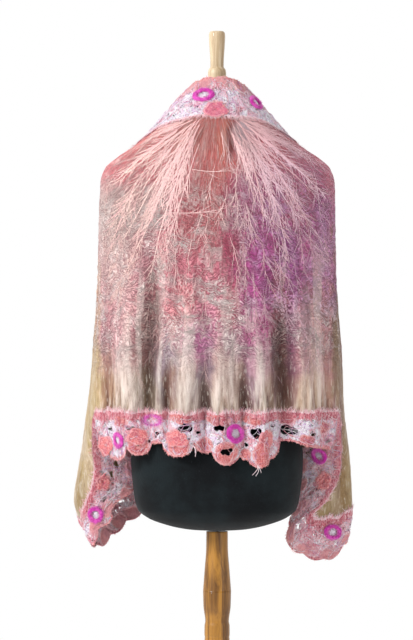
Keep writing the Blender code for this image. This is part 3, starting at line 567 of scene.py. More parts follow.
dyeAndShadeValues = {
    # the ground colour from the hanging corners up to the nape
    "ground": (
        (0.7, (166, 142, 98)), (0.84, (182, 160, 120)), (0.94, (200, 180, 158)), (1.0, (198, 172, 158)),
        (1.06, (220, 160, 166)), (1.14, (228, 138, 154)), (1.24, (234, 130, 146)), (1.34, (240, 130, 140)),
        (1.41, (242, 132, 132)), (1.47, (242, 128, 120)),
    ),
    # pools of dye, and of painted shade and highlight on the folds: across, up, half width, half height,
    # strength, colour
    "dyeAndShadePools": (
        (-0.19, 1.24, 0.04, 0.08, 0.75, (214, 198, 188)), (-0.17, 1.29, 0.06, 0.045, 0.65, (216, 196, 186)),
        (-0.155, 1.16, 0.04, 0.09, 0.55, (222, 188, 182)),
        # the three dark pools below, and the narrow dark ones at about -0.09, -0.02, 0.05 and 0.11 across,
        # are painted shade in the back's fold troughs
        (-0.128, 1.15, 0.016, 0.085, 0.65, (176, 112, 124)),
        (-0.124, 1.06, 0.018, 0.05, 0.7, (156, 112, 104)),
        (-0.125, 0.975, 0.024, 0.045, 0.8, (136, 122, 92)),
        (-0.09, 1.01, 0.016, 0.07, 0.7, (160, 152, 168)), (-0.084, 0.962, 0.01, 0.045, 0.8, (158, 112, 78)),
        (-0.02, 1.01, 0.013, 0.07, 0.8, (134, 116, 132)), (-0.018, 0.958, 0.011, 0.03, 0.8, (128, 98, 82)),
        (-0.045, 0.965, 0.03, 0.032, 0.6, (186, 172, 166)), (0.02, 1.02, 0.02, 0.05, 0.6, (206, 184, 176)),
        (0.03, 1.07, 0.02, 0.04, 0.6, (158, 104, 140)), (0.05, 0.97, 0.014, 0.05, 0.7, (132, 100, 84)),
        (0.064, 1.01, 0.014, 0.06, 0.6, (164, 136, 158)), (-0.03, 1.08, 0.03, 0.04, 0.55, (206, 128, 176)),
        (-0.06, 1.12, 0.03, 0.05, 0.4, (226, 146, 140)), (0.0, 1.38, 0.034, 0.08, 0.8, (236, 116, 108)),
        # the orange pool is painted highlight on the nape fold's left, the dark red one painted shade on its
        # right
        (0.01, 1.424, 0.008, 0.034, 0.8, (244, 128, 104)), (0.022, 1.42, 0.006, 0.034, 0.85, (190, 62, 72)),
        (0.046, 1.432, 0.018, 0.034, 0.85, (246, 222, 232)),
        (-0.06, 1.42, 0.04, 0.03, 0.45, (240, 170, 162)), (-0.026, 1.3, 0.04, 0.06, 0.65, (210, 98, 104)),
        (0.024, 1.29, 0.016, 0.05, 0.6, (196, 74, 92)), (0.022, 1.19, 0.017, 0.075, 0.9, (184, 56, 98)),
        (0.07, 1.3, 0.045, 0.06, 0.8, (196, 84, 146)), (0.088, 1.215, 0.036, 0.06, 0.85, (190, 66, 146)),
        (0.055, 1.16, 0.028, 0.05, 0.6, (188, 84, 150)), (0.078, 1.09, 0.03, 0.065, 0.8, (192, 74, 146)),
        (0.082, 1.03, 0.02, 0.03, 0.6, (226, 190, 196)), (0.15, 1.15, 0.03, 0.04, 0.6, (186, 110, 160)),
        (-0.04, 1.06, 0.024, 0.03, 0.6, (200, 96, 156)), (0.074, 1.18, 0.02, 0.06, 0.75, (192, 66, 152)),
        (0.106, 1.15, 0.01, 0.08, 0.65, (138, 60, 92)), (0.128, 1.15, 0.013, 0.09, 0.55, (168, 84, 150)),
        (0.026, 1.12, 0.012, 0.04, 0.6, (196, 92, 104)), (0.2, 1.18, 0.018, 0.06, 0.6, (172, 88, 156)),
        (0.124, 1.205, 0.016, 0.06, 0.8, (166, 66, 150)), (0.15, 1.225, 0.024, 0.05, 0.7, (176, 78, 150)),
        (0.112, 1.11, 0.018, 0.07, 0.8, (150, 78, 84)), (0.12, 1.0, 0.018, 0.05, 0.75, (148, 104, 88)),
        (0.14, 1.08, 0.016, 0.09, 0.6, (176, 110, 156)), (0.165, 1.33, 0.045, 0.07, 0.75, (196, 98, 142)),
        (0.19, 1.26, 0.024, 0.06, 0.75, (176, 84, 150)), (0.1, 1.4, 0.05, 0.04, 0.6, (206, 112, 134)),
        (0.176, 1.07, 0.034, 0.08, 0.65, (216, 164, 152)), (0.205, 1.03, 0.016, 0.11, 0.7, (196, 132, 132)),
        # the right strip's darker khaki, beside the left strip's, is partly painted shade
        (0.222, 1.0, 0.012, 0.26, 0.9, (150, 118, 74)), (-0.222, 0.96, 0.014, 0.2, 0.8, (194, 170, 112)),
        (-0.196, 0.965, 0.012, 0.06, 0.55, (222, 178, 132)),
        (0.17, 0.965, 0.04, 0.03, 0.55, (210, 178, 148)),
    ),
    "poolEdge": (0.1, 2.6),
    # chart colours of the felted fibre, and of the light and dark that lie over the dye; crest, edge and
    # column are painted highlight on the folds and pleats
    "wisp": (254, 222, 216), "wispRight": (250, 218, 234),
    "fronts": (222, 168, 166), "crinkle": (250, 230, 226), "crinkleRight": (234, 158, 212),
    "crest": (232, 218, 206), "edge": (250, 240, 228), "edgeNape": (250, 186, 178),
    "column": (252, 234, 226), "slub": (240, 230, 216),
    # darkening, as a share of red, green and blue; trough, crease and the column darks are painted shade in
    # the folds and pleats
    "fanDark": (0.72, 0.36, 0.40), "crinkleDark": (0.50, 0.25, 0.33),
    "trough": (0.50, 0.41, 0.38), "troughNape": (0.94, 0.66, 0.60),
    "crease": (0.50, 0.40, 0.38), "creaseNape": (0.94, 0.70, 0.66),
    "foldColumnShade": (0.58, 0.44, 0.48), "foldColumnShadeRight": (0.46, 0.28, 0.40),
    "hem": (0.88, 0.84, 0.84), "slubDark": (0.60, 0.52, 0.48),
}


def dyeColour(finish, x, y, z, place):
    # dye bleeds over uneven edges and goes on round the fronts
    bleedX = x + (finish.noise(place, 16, 4, 0.6) - 0.5) * 0.050
    shifted = finish.node("ShaderNodeVectorMath", {"operation": "ADD"}, {0: place, 1: (3.1, 7.7, 1.3)})
    bleedZ = z + (finish.noise(shifted, 12, 4, 0.6) - 0.5) * 0.075
    low, high = dyeAndShadeValues["ground"][0][0], dyeAndShadeValues["ground"][-1][0]
    stops = [((level - low) / (high - low), linear(*colour)) for level, colour in dyeAndShadeValues["ground"]]
    colour = finish.node("ShaderNodeValToRGB", {"stops": stops}, {0: (bleedZ - low) / (high - low)})
    # the pools lay on dye, and painted shade and highlight where they sit on folds
    for cx, cz, rx, rz, strength, chart in dyeAndShadeValues["dyeAndShadePools"]:
        dx, dz = (bleedX - cx) / rx, (bleedZ - cz) / rz
        dyeAndShadeShare = finish.step(dx * dx + dz * dz, *dyeAndShadeValues["poolEdge"], strength, 0.0)
        colour = finish.mix(colour, linear(*chart), dyeAndShadeShare)
    fronts = finish.step(y, 0.00, 0.08) * finish.step(z, 1.28, 1.36)
    return finish.mix(colour, linear(*dyeAndShadeValues["fronts"]), fronts * 0.65)


def fanFibre(finish, x, y, z):
    # felted fibre that fans out from the nape: its pale and dark strands, and the way from the nape
    napeX, napeZ = silkValues["nape"]
    down = napeZ + 0.03 - z
    angle = finish.node("ShaderNodeMath", {"operation": "ARCTAN2"}, {0: x - napeX, 1: down})
    offset = finish.joined(x - napeX, 0.0, down)
    away = finish.node("ShaderNodeVectorMath", {"operation": "LENGTH"}, {0: offset}, "Value")
    fan = finish.joined(angle * 5.0, away * 4.0, y * 3.0)
    broad = finish.step(finish.noise(fan, 2.2, 3, 0.6, 0.4), 0.42, 0.62)
    strand = finish.noise(fan, 8.0, 5, 0.72, 1.0)
    fine = finish.noise(finish.joined(angle * 11.0, away * 7.0, y * 3.0), 6.0, 4, 0.7, 1.4)
    near = finish.step(away, 0.40, 0.16) * finish.step(y, 0.08, 0.0)
    pale = finish.step(strand, 0.50, 0.57) * (0.3 + broad * 0.7) + finish.step(fine, 0.51, 0.59) * 0.6
    dark = finish.step(strand, 0.47, 0.39) + finish.step(fine, 0.47, 0.38)
    return pale * near, dark * near, away


def crinkles(finish, place, x, y, z):
    # crinkles that lie across the cloth where the fibre has shrunk the silk: light, shade, blotches
    bend = finish.noise(place, 22, 3, 0.6)
    wavy = finish.joined(x * 0.6, y * 0.6, z + bend * 0.075)
    crinkle = finish.wave(wavy, "Z", 60.0, 10.0, 2.5, 0.6)
    scribble = finish.noise(finish.joined(x * 0.75, y * 0.75, z + bend * 0.02), 125, 4, 0.62, 2.4)
    patches = finish.step(finish.noise(place, 26, 3, 0.6, 0.5), 0.44, 0.57)
    middle = finish.step(z, 0.985, 1.08) * finish.step(z, 1.40, 1.28)
    blotch = finish.step(finish.noise(wavy, 38, 4, 0.65, 0.8), 0.50, 0.60) * middle
    # the rose strip down the middle stays plain, and the far left nearly so
    stripX, stripZ = (x - 0.024) / 0.016, (z - 1.205) / 0.055
    plain = finish.step(stripX * stripX + stripZ * stripZ, 1.6, 0.6)
    calm = finish.step(x, -0.11, -0.15) * finish.step(z, 1.10, 1.20)
    light = finish.step(crinkle, 0.60, 0.85) * 0.75 + finish.step(scribble, 0.51, 0.57) * 0.65
    light = light * (0.22 + 0.78 * patches) * middle * (1 - plain * 0.75) * (1 - calm * 0.6)
    shade = finish.step(crinkle, 0.32, 0.08) * 0.75 + finish.step(scribble, 0.47, 0.40) * 0.65
    return light * (0.45 + 0.55 * blotch), shade * (0.12 + 0.88 * middle), blotch, plain


def silkFinish():
    finish = Finish("dyedSilk")
    tone = lambda key: linear(*dyeAndShadeValues[key])
    place = finish.place()
    x, y, z = finish.split(place)
    colour = dyeColour(finish, x, y, z, place)
    pale, dark, away = fanFibre(finish, x, y, z)
    light, shade, blotch, plain = crinkles(finish, place, x, y, z)
    fanDark = finish.step(dark, 0.0, 1.2) * finish.step(away, 0.04, 0.13, 0.16, 0.52)
    colour = finish.darken(colour, dyeAndShadeValues["fanDark"], fanDark)
    colour = finish.darken(colour, dyeAndShadeValues["crinkleDark"], finish.step(shade, 0.0, 0.9) * 0.74)
    fibre = finish.mix(tone("wisp"), tone("wispRight"), finish.step(x, 0.0, 0.10))
    colour = finish.mix(colour, fibre, finish.step(pale, 0.0, 1.0) * 0.55)
    right = finish.step(x, 0.02, 0.08) * finish.step(z, 1.08, 1.16)
    tint = finish.mix(tone("crinkle"), tone("crinkleRight"), right)
    colour = finish.mix(colour, tint, finish.step(light, 0.0, 0.62) * 0.95)
    colour = finish.mix(colour, tint, blotch * 0.38 * (1 - plain))
    # the soft light of each fold: dark in its trough, pale on its crest
    trough = finish.mix(dyeAndShadeValues["trough"], dyeAndShadeValues["troughNape"], finish.step(z, 1.22, 1.34))
    colour = finish.darken(colour, trough, finish.read("deep") * 0.85)
    crest = finish.step(finish.read("rise"), 0.25, 1.0) * finish.step(z, 1.36, 1.20)
    colour = finish.mix(colour, tone("crest"), crest * 0.30)
    # painted shade in the hollow of each small pleat, and painted highlight on its raised edge
    pleat, nape = finish.read("pleat"), finish.step(z, 1.20, 1.32)
    crease = finish.mix(dyeAndShadeValues["crease"], dyeAndShadeValues["creaseNape"], nape)
    colour = finish.darken(colour, crease, finish.step(pleat, 0.46, 0.05) * 0.70)
    edge = finish.mix(tone("edge"), tone("edgeNape"), nape)
    colour = finish.mix(colour, edge, finish.step(pleat, 0.56, 0.95) * 0.40)
    # soft columns that hang from the middle of the back to the hem, painted shade and painted highlight of
    # the hanging folds
    columns = finish.noise(finish.joined(x, y * 0.3, z * 0.13 + x * 0.1), 30, 3, 0.6, 0.3)
    hang = finish.step(z, 1.28, 1.16) * finish.step(y, 0.06, 0.0)
    foldColumnShade = finish.mix(dyeAndShadeValues["foldColumnShade"], dyeAndShadeValues["foldColumnShadeRight"], finish.step(x, 0.02, 0.09))
    colour = finish.darken(colour, foldColumnShade, finish.step(columns, 0.48, 0.38) * hang * 0.70)
    colour = finish.darken(colour, dyeAndShadeValues["hem"], finish.step(z, 1.08, 1.00))
    colour = finish.mix(colour, tone("column"), finish.step(columns, 0.53, 0.62) * hang * 0.42)
    slub, low = finish.noise(finish.joined(x, y, z * 0.14), 260, 3, 0.6), finish.step(z, 1.09, 0.98)
    colour = finish.darken(colour, dyeAndShadeValues["slubDark"], finish.step(slub, 0.52, 0.66) * low * 0.6)
    colour = finish.mix(colour, tone("slub"), finish.step(slub, 0.46, 0.34) * low * 0.35)
    weave = finish.noise(finish.stretched(place, (1, 1, 0.25)), 700, 2, 0.5)
    height = light - shade * 0.7 + pale * 0.9 - dark * 0.5 + weave * 0.25 + slub * low * 0.6
    rough = 0.46 + finish.noise(place, 60, 2) * 0.20
    return finish.close(colour, rough, finish.bump(height, 1.0, 0.0028), sheen=0.2, gloss=0.35)


# how deep in a trough, how high on a crest, and where in a small pleat each point lies
deep, rise = ease(-silkMoves / 0.013), ease(silkMoves / 0.010)
window = np.hanning(13) / np.hanning(13).sum()
level = np.apply_along_axis(lambda row: np.convolve(row, window, "same"), 1, silkMoves)
pleat = np.clip((silkMoves - level) / 0.0026, -1, 1) / 2 + 0.5
silkNumbers = {"deep": deep, "rise": rise, "pleat": pleat}
silkScarf = makeMesh("silkScarf", silkPoints, gridFaces(silkRows, silkColumns), silkFinish(), silkNumbers)
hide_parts("silk_back", "silk_left_front", "silk_right_front")
print("silk done")


wispValues = {
    # each plume: angle off straight down, its spread, strands, length, bend
    "plumes": (
        (-79, 3, 7, 0.22, 12), (-72, 3, 8, 0.24, 8), (-64, 3, 7, 0.24, 0), (-55, 2, 5, 0.19, -8),
        (-46, 3, 6, 0.23, -14), (-37, 2, 5, 0.27, -16), (-28, 4, 9, 0.29, -14), (-19, 2, 4, 0.26, -6),
        (3, 3, 2, 0.06, 4), (23, 3, 8, 0.17, -10), (30, 2, 6, 0.27, -22), (40, 3, 7, 0.25, -12),
        (51, 2, 5, 0.24, -4), (61, 3, 7, 0.25, 2), (70, 3, 7, 0.24, 4), (78, 3, 6, 0.22, 8),
    ),
    # strokes that lie nearly across: across, up, angle, length
    "bent": ((-0.045, 1.366, 78, 0.075), (-0.085, 1.290, 84, 0.11)),
    # pale raised threads that hang straight down: across, up, length
    "hanging": ((-0.022, 1.044, 0.06), (-0.141, 1.040, 0.05), (0.048, 1.230, 0.095), (0.122, 1.134, 0.072)),
    "later": 110, "barbs": 12, "width": 0.0012, "lift": 0.0005,
    "tints": (
        ((250, 228, 212), "x", -0.08, -0.15, 0.7), ((244, 190, 184), "z", 1.36, 1.46, 0.5),
        ((238, 186, 190), "shade", 0.45, 1.0, 0.8), ((206, 150, 156), "fibre", 0.5, 0.7, 0.5),
    ),
    "overall": (232, 156, 160),
}


def wispPaths():
    # feathery strokes: plumes fan out from the nape and carry long fibres nearly along them
    chance = np.random.default_rng(7)
    napeX, napeZ = silkValues["nape"]
    width = wispValues["width"]
    lines = []  # start x, start z, angle from straight down, bend, length, half width
    for middle, spread, count, longest, bend in wispValues["plumes"]:
        for one in range(count):
            angle = middle + spread * chance.uniform(-1, 1)
            turn, off = math.radians(angle), 0.014 + 0.05 * chance.random()
            root = napeX + (-0.020 if middle < 0 else 0.026) * chance.uniform(0.4, 1.3)
            start = (root + off * math.sin(turn), napeZ - 0.002 - off * math.cos(turn))
            own = (bend if middle > 0 else -bend) + chance.uniform(-6, 6)
            long = longest * chance.uniform(0.45, 1.0)
            lines.append((*start, angle, own, long, width * chance.uniform(0.6, 1.7)))
    for one in range(wispValues["later"]):  # later starts lower down the back
        x, z = chance.uniform(-0.19, 0.19), chance.uniform(1.10, 1.38)
        angle, own = chance.uniform(-16, 16) + x * 150, chance.uniform(-20, 20)
        long = chance.uniform(0.03, 0.07) * (1 + 6 * abs(x))
        lines.append((x, z, angle, own, long, width * chance.uniform(0.4, 0.9)))
    lines += [(x, z, angle, 22, long, width * 0.9) for x, z, angle, long in wispValues["bent"]]
    lines += [(x, z, 1, 3, long, width * 0.6) for x, z, long in wispValues["hanging"]]
    barbs = []
    for x, z, angle, bend, length, wide in lines:
        for one in range(max(2, int(wispValues["barbs"] * length / 0.12))):
            t = chance.uniform(0.08, 1.0)
            turn = math.radians(angle + bend * t * 0.5)
            side = chance.choice([-1, 1])
            root = (x + length * t * math.sin(turn), z - length * t * math.cos(turn))
            heading = (angle + bend * t + side * chance.uniform(7, 26), side * chance.uniform(0, 24))
            long = chance.uniform(0.014, 0.048) * (1.15 - 0.5 * t)
            barbs.append((*root, *heading, long, max(0.0006, wide * 0.5)))
    return lines, barbs


def wispMesh(name, lines, steps, material):
    # lays the strokes on the silk's own surface
    startX, startZ, angle, bend, length, width = np.array(lines, float).T[:, :, None]
    t = np.linspace(0, 1, steps)
    turn = np.radians(angle + bend * t * 0.5)
    course = lambda: (startX + length * t * np.sin(turn), startZ - length * t * np.cos(turn))
    x, z = course()
    for again in range(6):  # a stroke that runs over the side is drawn shorter
        limit = np.minimum(read(silkValues["levels"], "z", "left", z) - 0.010, 0.205)
        length = np.where((np.abs(x) > limit).any(axis=1, keepdims=True), length * 0.8, length)
        x, z = course()
    inside = (np.abs(x) < limit).all(axis=1) & (z.min(axis=1) > 0.96)
    x, z, width = x[inside], z[inside], width[inside]
    chance = np.random.default_rng(3)
    x = x + 0.0012 * softNoise(t * 9, np.arange(len(x))[:, None] * 3.7, 31)
    col, row = onBack(x, z)
    facing = sample(silkFacing, col, row)
    paths = sample(silkPoints, col, row) + facing * wispValues["lift"]
    sides = unit(np.cross(facing, np.gradient(paths, axis=1)))
    taper = np.sin(math.pi * np.clip(t * 0.86 + 0.13, 0, 1)) ** 0.8
    piece = strips(name, paths, sides, width * (0.12 + 0.88 * taper), material, chance.random(len(x)), 0.0004)
    return piece


def wispFinish():
    finish = Finish("feltedWisps")
    place = finish.place()
    x, y, z = finish.split(place)
    fibre = finish.noise(place, 420, 3, 0.6)
    follows = {"x": x, "z": z, "shade": finish.read("shade"), "fibre": fibre}
    left, right = linear(*dyeAndShadeValues["wisp"]), linear(*dyeAndShadeValues["wispRight"])
    colour = finish.mix(left, right, finish.step(x, 0.0, 0.12))
    colour = finish.paint(wispValues["tints"], follows, colour)
    colour = finish.mix(colour, linear(*wispValues["overall"]), 0.22)
    alpha = finish.step(finish.read("edge") + (fibre - 0.5) * 1.6, 1.05, 0.30, 0.0, 0.9)
    alpha = alpha * finish.step(z, 1.06, 1.30, 0.45, 1.0)
    return finish.close(colour, 0.8, finish.bump(fibre, 0.4, 0.0006), alpha, sheen=0.3, gloss=0.2)


wispLines, wispBarbs = wispPaths()
feltedWisps = wispFinish()
stemPiece = wispMesh("wispStems", wispLines, 16, feltedWisps)
barbPiece = wispMesh("wispBarbs", wispBarbs, 6, feltedWisps)
print("wisps done", len(wispLines), len(wispBarbs))


# The lace: a felted web with cut gaps, scalloped petals, a net of threads and a fuzzy edge.
laceValues = {
    "rows": 40,
    "cell": 0.0018,
    "wall": 0.0015,
    "hemBase": (
        ("x", "z"),
        (-0.215, 0.872), (-0.19, 0.868), (-0.16, 0.876), (-0.11, 0.882), (-0.045, 0.88), (0.0, 0.876),
        (0.05, 0.874), (0.098, 0.884), (0.125, 0.886), (0.16, 0.876), (0.2, 0.868),
    ),
    # round lobes that hang below it: across, up, half width, half height
    "hemLobes": (
        (-0.207, 0.872, 0.018, 0.018), (-0.178, 0.868, 0.016, 0.018), (-0.139, 0.88, 0.023, 0.02),
        (-0.07, 0.88, 0.027, 0.021), (-0.02, 0.88, 0.019, 0.015), (0.016, 0.872, 0.026, 0.028),
        (0.05, 0.874, 0.016, 0.021), (0.074, 0.876, 0.024, 0.037), (0.093, 0.88, 0.018, 0.026),
    ),
    # the free edge of each band, by its place along the silk
    "left_side": (
        ("place", "x", "y", "z"),
        (0, -0.226, 0.038, 0.69), (1.5, -0.21, 0.036, 0.722), (3, -0.191, 0.036, 0.742),
        (4.5, -0.184, 0.042, 0.77), (6, -0.16, 0.052, 0.782), (8, -0.148, 0.06, 0.816),
        (10, -0.152, 0.056, 0.862), (11, -0.18, 0.006, 0.866), (12, -0.205, -0.035, 0.858),
    ),
    "right_side": (
        ("place", "x", "y", "z"),
        (76, 0.204, -0.036, 0.868), (77, 0.178, 0.006, 0.872), (78, 0.148, 0.056, 0.866),
        (80, 0.145, 0.062, 0.806), (82, 0.14, 0.058, 0.756), (83, 0.127, 0.046, 0.712),
        (84, 0.133, 0.04, 0.69),
    ),
    "left_end": (
        ("u", "x", "y", "z"),
        (1.0, 0.226, 0.04, 0.69), (1.15, 0.212, 0.07, 0.688), (1.3, 0.192, 0.092, 0.704),
        (1.45, 0.17, 0.11, 0.724), (1.6, 0.144, 0.122, 0.742), (1.8, 0.104, 0.138, 0.768),
        (2.0, 0.037, 0.146, 0.79),
    ),
    "right_end": (
        ("u", "x", "y", "z"),
        (0.925, 0.135, 0.043, 0.69), (0.943, 0.156, 0.054, 0.673), (0.962, 0.196, 0.062, 0.663),
        (1.0, 0.235, 0.06, 0.694), (1.15, 0.234, 0.086, 0.702), (1.3, 0.208, 0.104, 0.71),
        (1.45, 0.176, 0.118, 0.728), (1.6, 0.144, 0.128, 0.744), (1.8, 0.104, 0.14, 0.766),
        (2.0, 0.033, 0.146, 0.786),
    ),
    "collar": (("u", "z"), (0.00, 1.533), (0.35, 1.529), (0.70, 1.517), (1.00, 1.503)),
    "front": (
        ("share", "x", "y", "z"),
        (0.0, 0.059, 0.0, 1.503), (0.08, 0.064, 0.038, 1.476), (0.18, 0.058, 0.078, 1.418),
        (0.3, 0.044, 0.112, 1.33), (0.42, 0.036, 0.136, 1.22), (0.6, 0.033, 0.148, 1.08),
        (0.8, 0.035, 0.15, 0.93), (1.0, 0.034, 0.147, 0.79),
    ),
    # petals of the hem: across, up, half width, half height
    "hemPetals": (
        (-0.207, 0.87, 0.015, 0.015), (-0.139, 0.877, 0.022, 0.017), (-0.07, 0.879, 0.026, 0.02),
        (-0.022, 0.882, 0.021, 0.013), (0.016, 0.866, 0.024, 0.021), (0.082, 0.864, 0.02, 0.027),
        (0.05, 0.864, 0.012, 0.01), (0.16, 0.884, 0.018, 0.012), (-0.171, 0.92, 0.022, 0.009),
        (-0.065, 0.926, 0.024, 0.009), (0.0, 0.922, 0.026, 0.009), (0.118, 0.926, 0.022, 0.01),
        (0.06, 0.922, 0.018, 0.007), (0.186, 0.908, 0.018, 0.01),
    ),
    # gaps of the hem that show the form or the backdrop
    "hemGaps": (
        (-0.156, 0.908, 0.009, 0.003), (-0.19, 0.905, 0.008, 0.0028), (-0.107, 0.9, 0.0055, 0.003),
        (-0.056, 0.909, 0.015, 0.0078), (-0.034, 0.902, 0.0055, 0.0026), (0.004, 0.91, 0.012, 0.005),
        (0.018, 0.868, 0.012, 0.006), (0.068, 0.9, 0.0105, 0.009), (0.052, 0.88, 0.005, 0.0034),
        (0.124, 0.905, 0.017, 0.0084), (0.172, 0.898, 0.009, 0.003), (0.196, 0.884, 0.006, 0.0034),
        (-0.141, 0.879, 0.003, 0.0022), (-0.12, 0.884, 0.004, 0.0024), (0.098, 0.912, 0.006, 0.0024),
    ),
    "hemStains": ((-0.115, 0.922, 0.019, 0.011),),
    # how pink each band is
    "blush": {
        "collar": 0.05, "hem_back": 0.34, "left_side": 0.52, "right_side": 0.56, "left_end": 0.50,
        "right_end": 0.72, "left_front": 0.25, "right_front": 0.25,
    },
    # loose threads that hang from the hem: across, how many
    "loose": ((-0.044, 5), (0.070, 3)),
    "petalSpacing": 0.041,
    "threadEvery": 0.0027,
    # fuzz by its fibres a metre, shortest and longest: on the free edge, and over the silk's edge
    "fuzz": (1300, 0.0015, 0.0045),
    "fringe": (2400, 0.0030, 0.0115),
    # colours of the felt: the ground, then colour, what it follows, from where to where, its share
    "net": (
        (255, 251, 255), ((226, 188, 230), "knots", 0.49, 0.58, 1),
        ((246, 174, 198), "big", 0.48, 0.60, 0.75),
    ),
    "pink": (
        (248, 176, 186), ((232, 138, 156), "big", 0.46, 0.58, 1),
        ((255, 232, 238), "knots", 0.50, 0.57, 0.8),
    ),
    "hairs": (((255, 250, 255), "hairs", 0.53, 0.60, 0.8), ((104, 44, 74), "specks", 0.555, 0.60, 0.85)),
    "edging": (
        (232, 140, 150), ((206, 92, 112), "knots", 0.46, 0.58, 1),
        ((254, 214, 220), "hairs", 0.52, 0.58, 0.75),
    ),
    "darkFlecks": (136, 50, 76),
    "felt": (
        (220, 112, 112), ((188, 82, 102), "big", 0.44, 0.58, 1),
        ((252, 196, 194), "fine", 0.52, 0.58, 0.75),
        ((150, 50, 66), "specks", 0.54, 0.62, 0.6), ((250, 190, 184), "specks", 0.45, 0.38, 0.6),
        ((246, 182, 190), "blush", 0.345, 0.50, 0.45),
    ),
    "rim": (((250, 204, 208), "rim", 0.50, 0.95, 0.6),),
    "stain": ((196, 30, 160), ((240, 130, 214), "knots", 0.46, 0.58, 1)),
    "thread": (
        (0.0, (252, 248, 252)), (0.42, (244, 232, 246)), (0.52, (206, 160, 212)), (0.68, (240, 168, 190)),
        (0.84, (232, 120, 136)), (1.0, (250, 214, 214)),
    ),
    "twist": (((190, 130, 160), "twist", 0.5, 0.7, 0.4),),
    "fleck": (((250, 226, 230), "fleck", 0.5, 0.7, 0.4),),
    # fuzz: its two ends of colour
    "paleFuzz": ((250, 236, 240), (236, 160, 170)),
    "salmonFuzz": ((236, 128, 124), (248, 190, 186)),
    "magentaFuzz": ((206, 60, 172), (236, 130, 206)),
}


def calmed(points, width):
    # a line with its small wiggles averaged out, its ends kept
    kernel = np.hanning(width * 2 + 3)[1:-1]
    kernel /= kernel.sum()
    pad = len(kernel) // 2
    start = points[:1] * 2 - points[pad:0:-1]
    end = points[-1:] * 2 - points[-2:-pad - 2:-1]
    full = np.concatenate([start, points, end])
    return np.stack([np.convolve(full[:, i], kernel, "valid") for i in range(3)], axis=1)


def evenly(rowPath, colPath, cell):
    # a line of rows and columns over the silk, set out again at even steps
    run = lengths(sample(silkPoints, colPath, rowPath))
    at = np.linspace(0, run[-1], max(8, int(run[-1] / cell)) + 1)
    return np.interp(at, run, rowPath), np.interp(at, run, colPath)


def scalloped(seam, free, length, depth, shift):
    # a free edge drawn out into petals
    petal = np.abs(np.sin(math.pi * (lengths(free) / length + shift)))
    return free + unit(free - seam) * (depth * (petal - 0.6))[:, None]


def laceGrid(rowPath, colPath, calm, free, inward, bulge, seed):
    # rows from a narrow overlap on the silk, over its edge, to the free edge
    seam = sample(silkPoints, colPath, rowPath)
    t = np.linspace(0, 1, laceValues["rows"])[:, None, None]
    body = calm + (free - calm) * t + (seam - calm) * (1 - ease(t / 0.5))
    body = body + normals(body) * (bulge * np.sin(math.pi * t))
    s = lengths(free)[None, :, None]
    uneven = 0.0016 * t * softNoise(s / 0.021, t * 2, seed) + 0.0007 * softNoise(s / 0.006, t * 11, seed + 1)
    body = body + normals(body) * uneven
    body = body + sample(silkFacing, colPath, rowPath) * (0.0016 * (1 - ease(t / 0.25)))
    under = []
    wander = 0.80 + 0.45 * softNoise(lengths(free) / 0.017, 0.0, seed + 2)
    for k in (3 * wander, 2 * wander, wander):
        r, c = rowPath + inward[0] * k, colPath + inward[1] * k
        lift = 0.0010 + 0.0002 * (3 - k / wander)
        under.append(sample(silkPoints, c, r) + sample(silkFacing, c, r) * lift[:, None])
    return np.concatenate([np.array(under), body])


lastRow, lastCol = silkRows - 1.0, silkColumns - 1.0
freeEdges, laceGrids = {}, {}


def placeOf(col):
    # the place across the back of a column of the fine grid
    return (col - silkValues["frontColumns"]) / silkValues["backColumns"] * 88


def outward(col):
    # how far round the form each column of the lower edge lies, past 1 on the fronts
    nf, nb, place = silkValues["frontColumns"], silkValues["backColumns"], placeOf(col)
    front = np.where(col < nf, 1 + (nf - col) / nf, 1 + (col - nf - nb) / nf)
    turned = read(silkValues["lowerEdge"], "place", "u", np.clip(place, 0, 88))
    return np.where((place > 0) & (place < 88), turned, front)


def edgeOf(name, at, side=1.0):
    # the drawn free edge of a band, mirrored where side is negative
    table = laceValues[name]
    return stack(*[read(table, table[0][0], axis, at) for axis in "xyz"]) * np.array([side, 1.0, 1.0])


def seamLine(first, last, count, stretch=1.0, calm=3, row=lastRow):
    # an even line along an edge of the silk, and the calmed seam beside it
    line = np.full(count, row), np.linspace(first, last, count)
    rowPath, colPath = evenly(*line, laceValues["cell"] * stretch)
    return rowPath, colPath, calmed(sample(silkPoints, colPath, rowPath), calm)


def drawnTo(free, end, point, spread):
    # a free edge whose first or last stretch is drawn to a point
    ramp = np.linspace(1, -spread, len(free)) if end == 0 else np.linspace(-spread, 1, len(free))
    return free + (point - free[end]) * ease(ramp)[:, None]


rowPath, colPath, seam = seamLine(columnOf(12), columnOf(76), 500, calm=7)
hemX = seam[:, 0] * (0.985 - 0.045 * ease((np.abs(seam[:, 0]) - 0.15) / 0.065))
hemY = drape(read(silkValues["lowerEdge"], "place", "u", placeOf(colPath)), 0.93)[:, 1]
hemZ = read(laceValues["hemBase"], "x", "z", hemX)
for cx, cz, rx, rz in laceValues["hemLobes"]:
    lobe = cz - rz * np.sqrt(np.clip(1 - ((hemX - cx) / rx) ** 2, 0, 1))
    hemZ = np.minimum(hemZ, lobe + 0.02 * (np.abs(hemX - cx) > rx))
freeEdges["hem_back"] = stack(hemX, seam[:, 1] * 0.6 + hemY * 0.4, hemZ)
laceGrids["hem_back"] = laceGrid(rowPath, colPath, seam, freeEdges["hem_back"], (-1, 0), 0.002, 41)

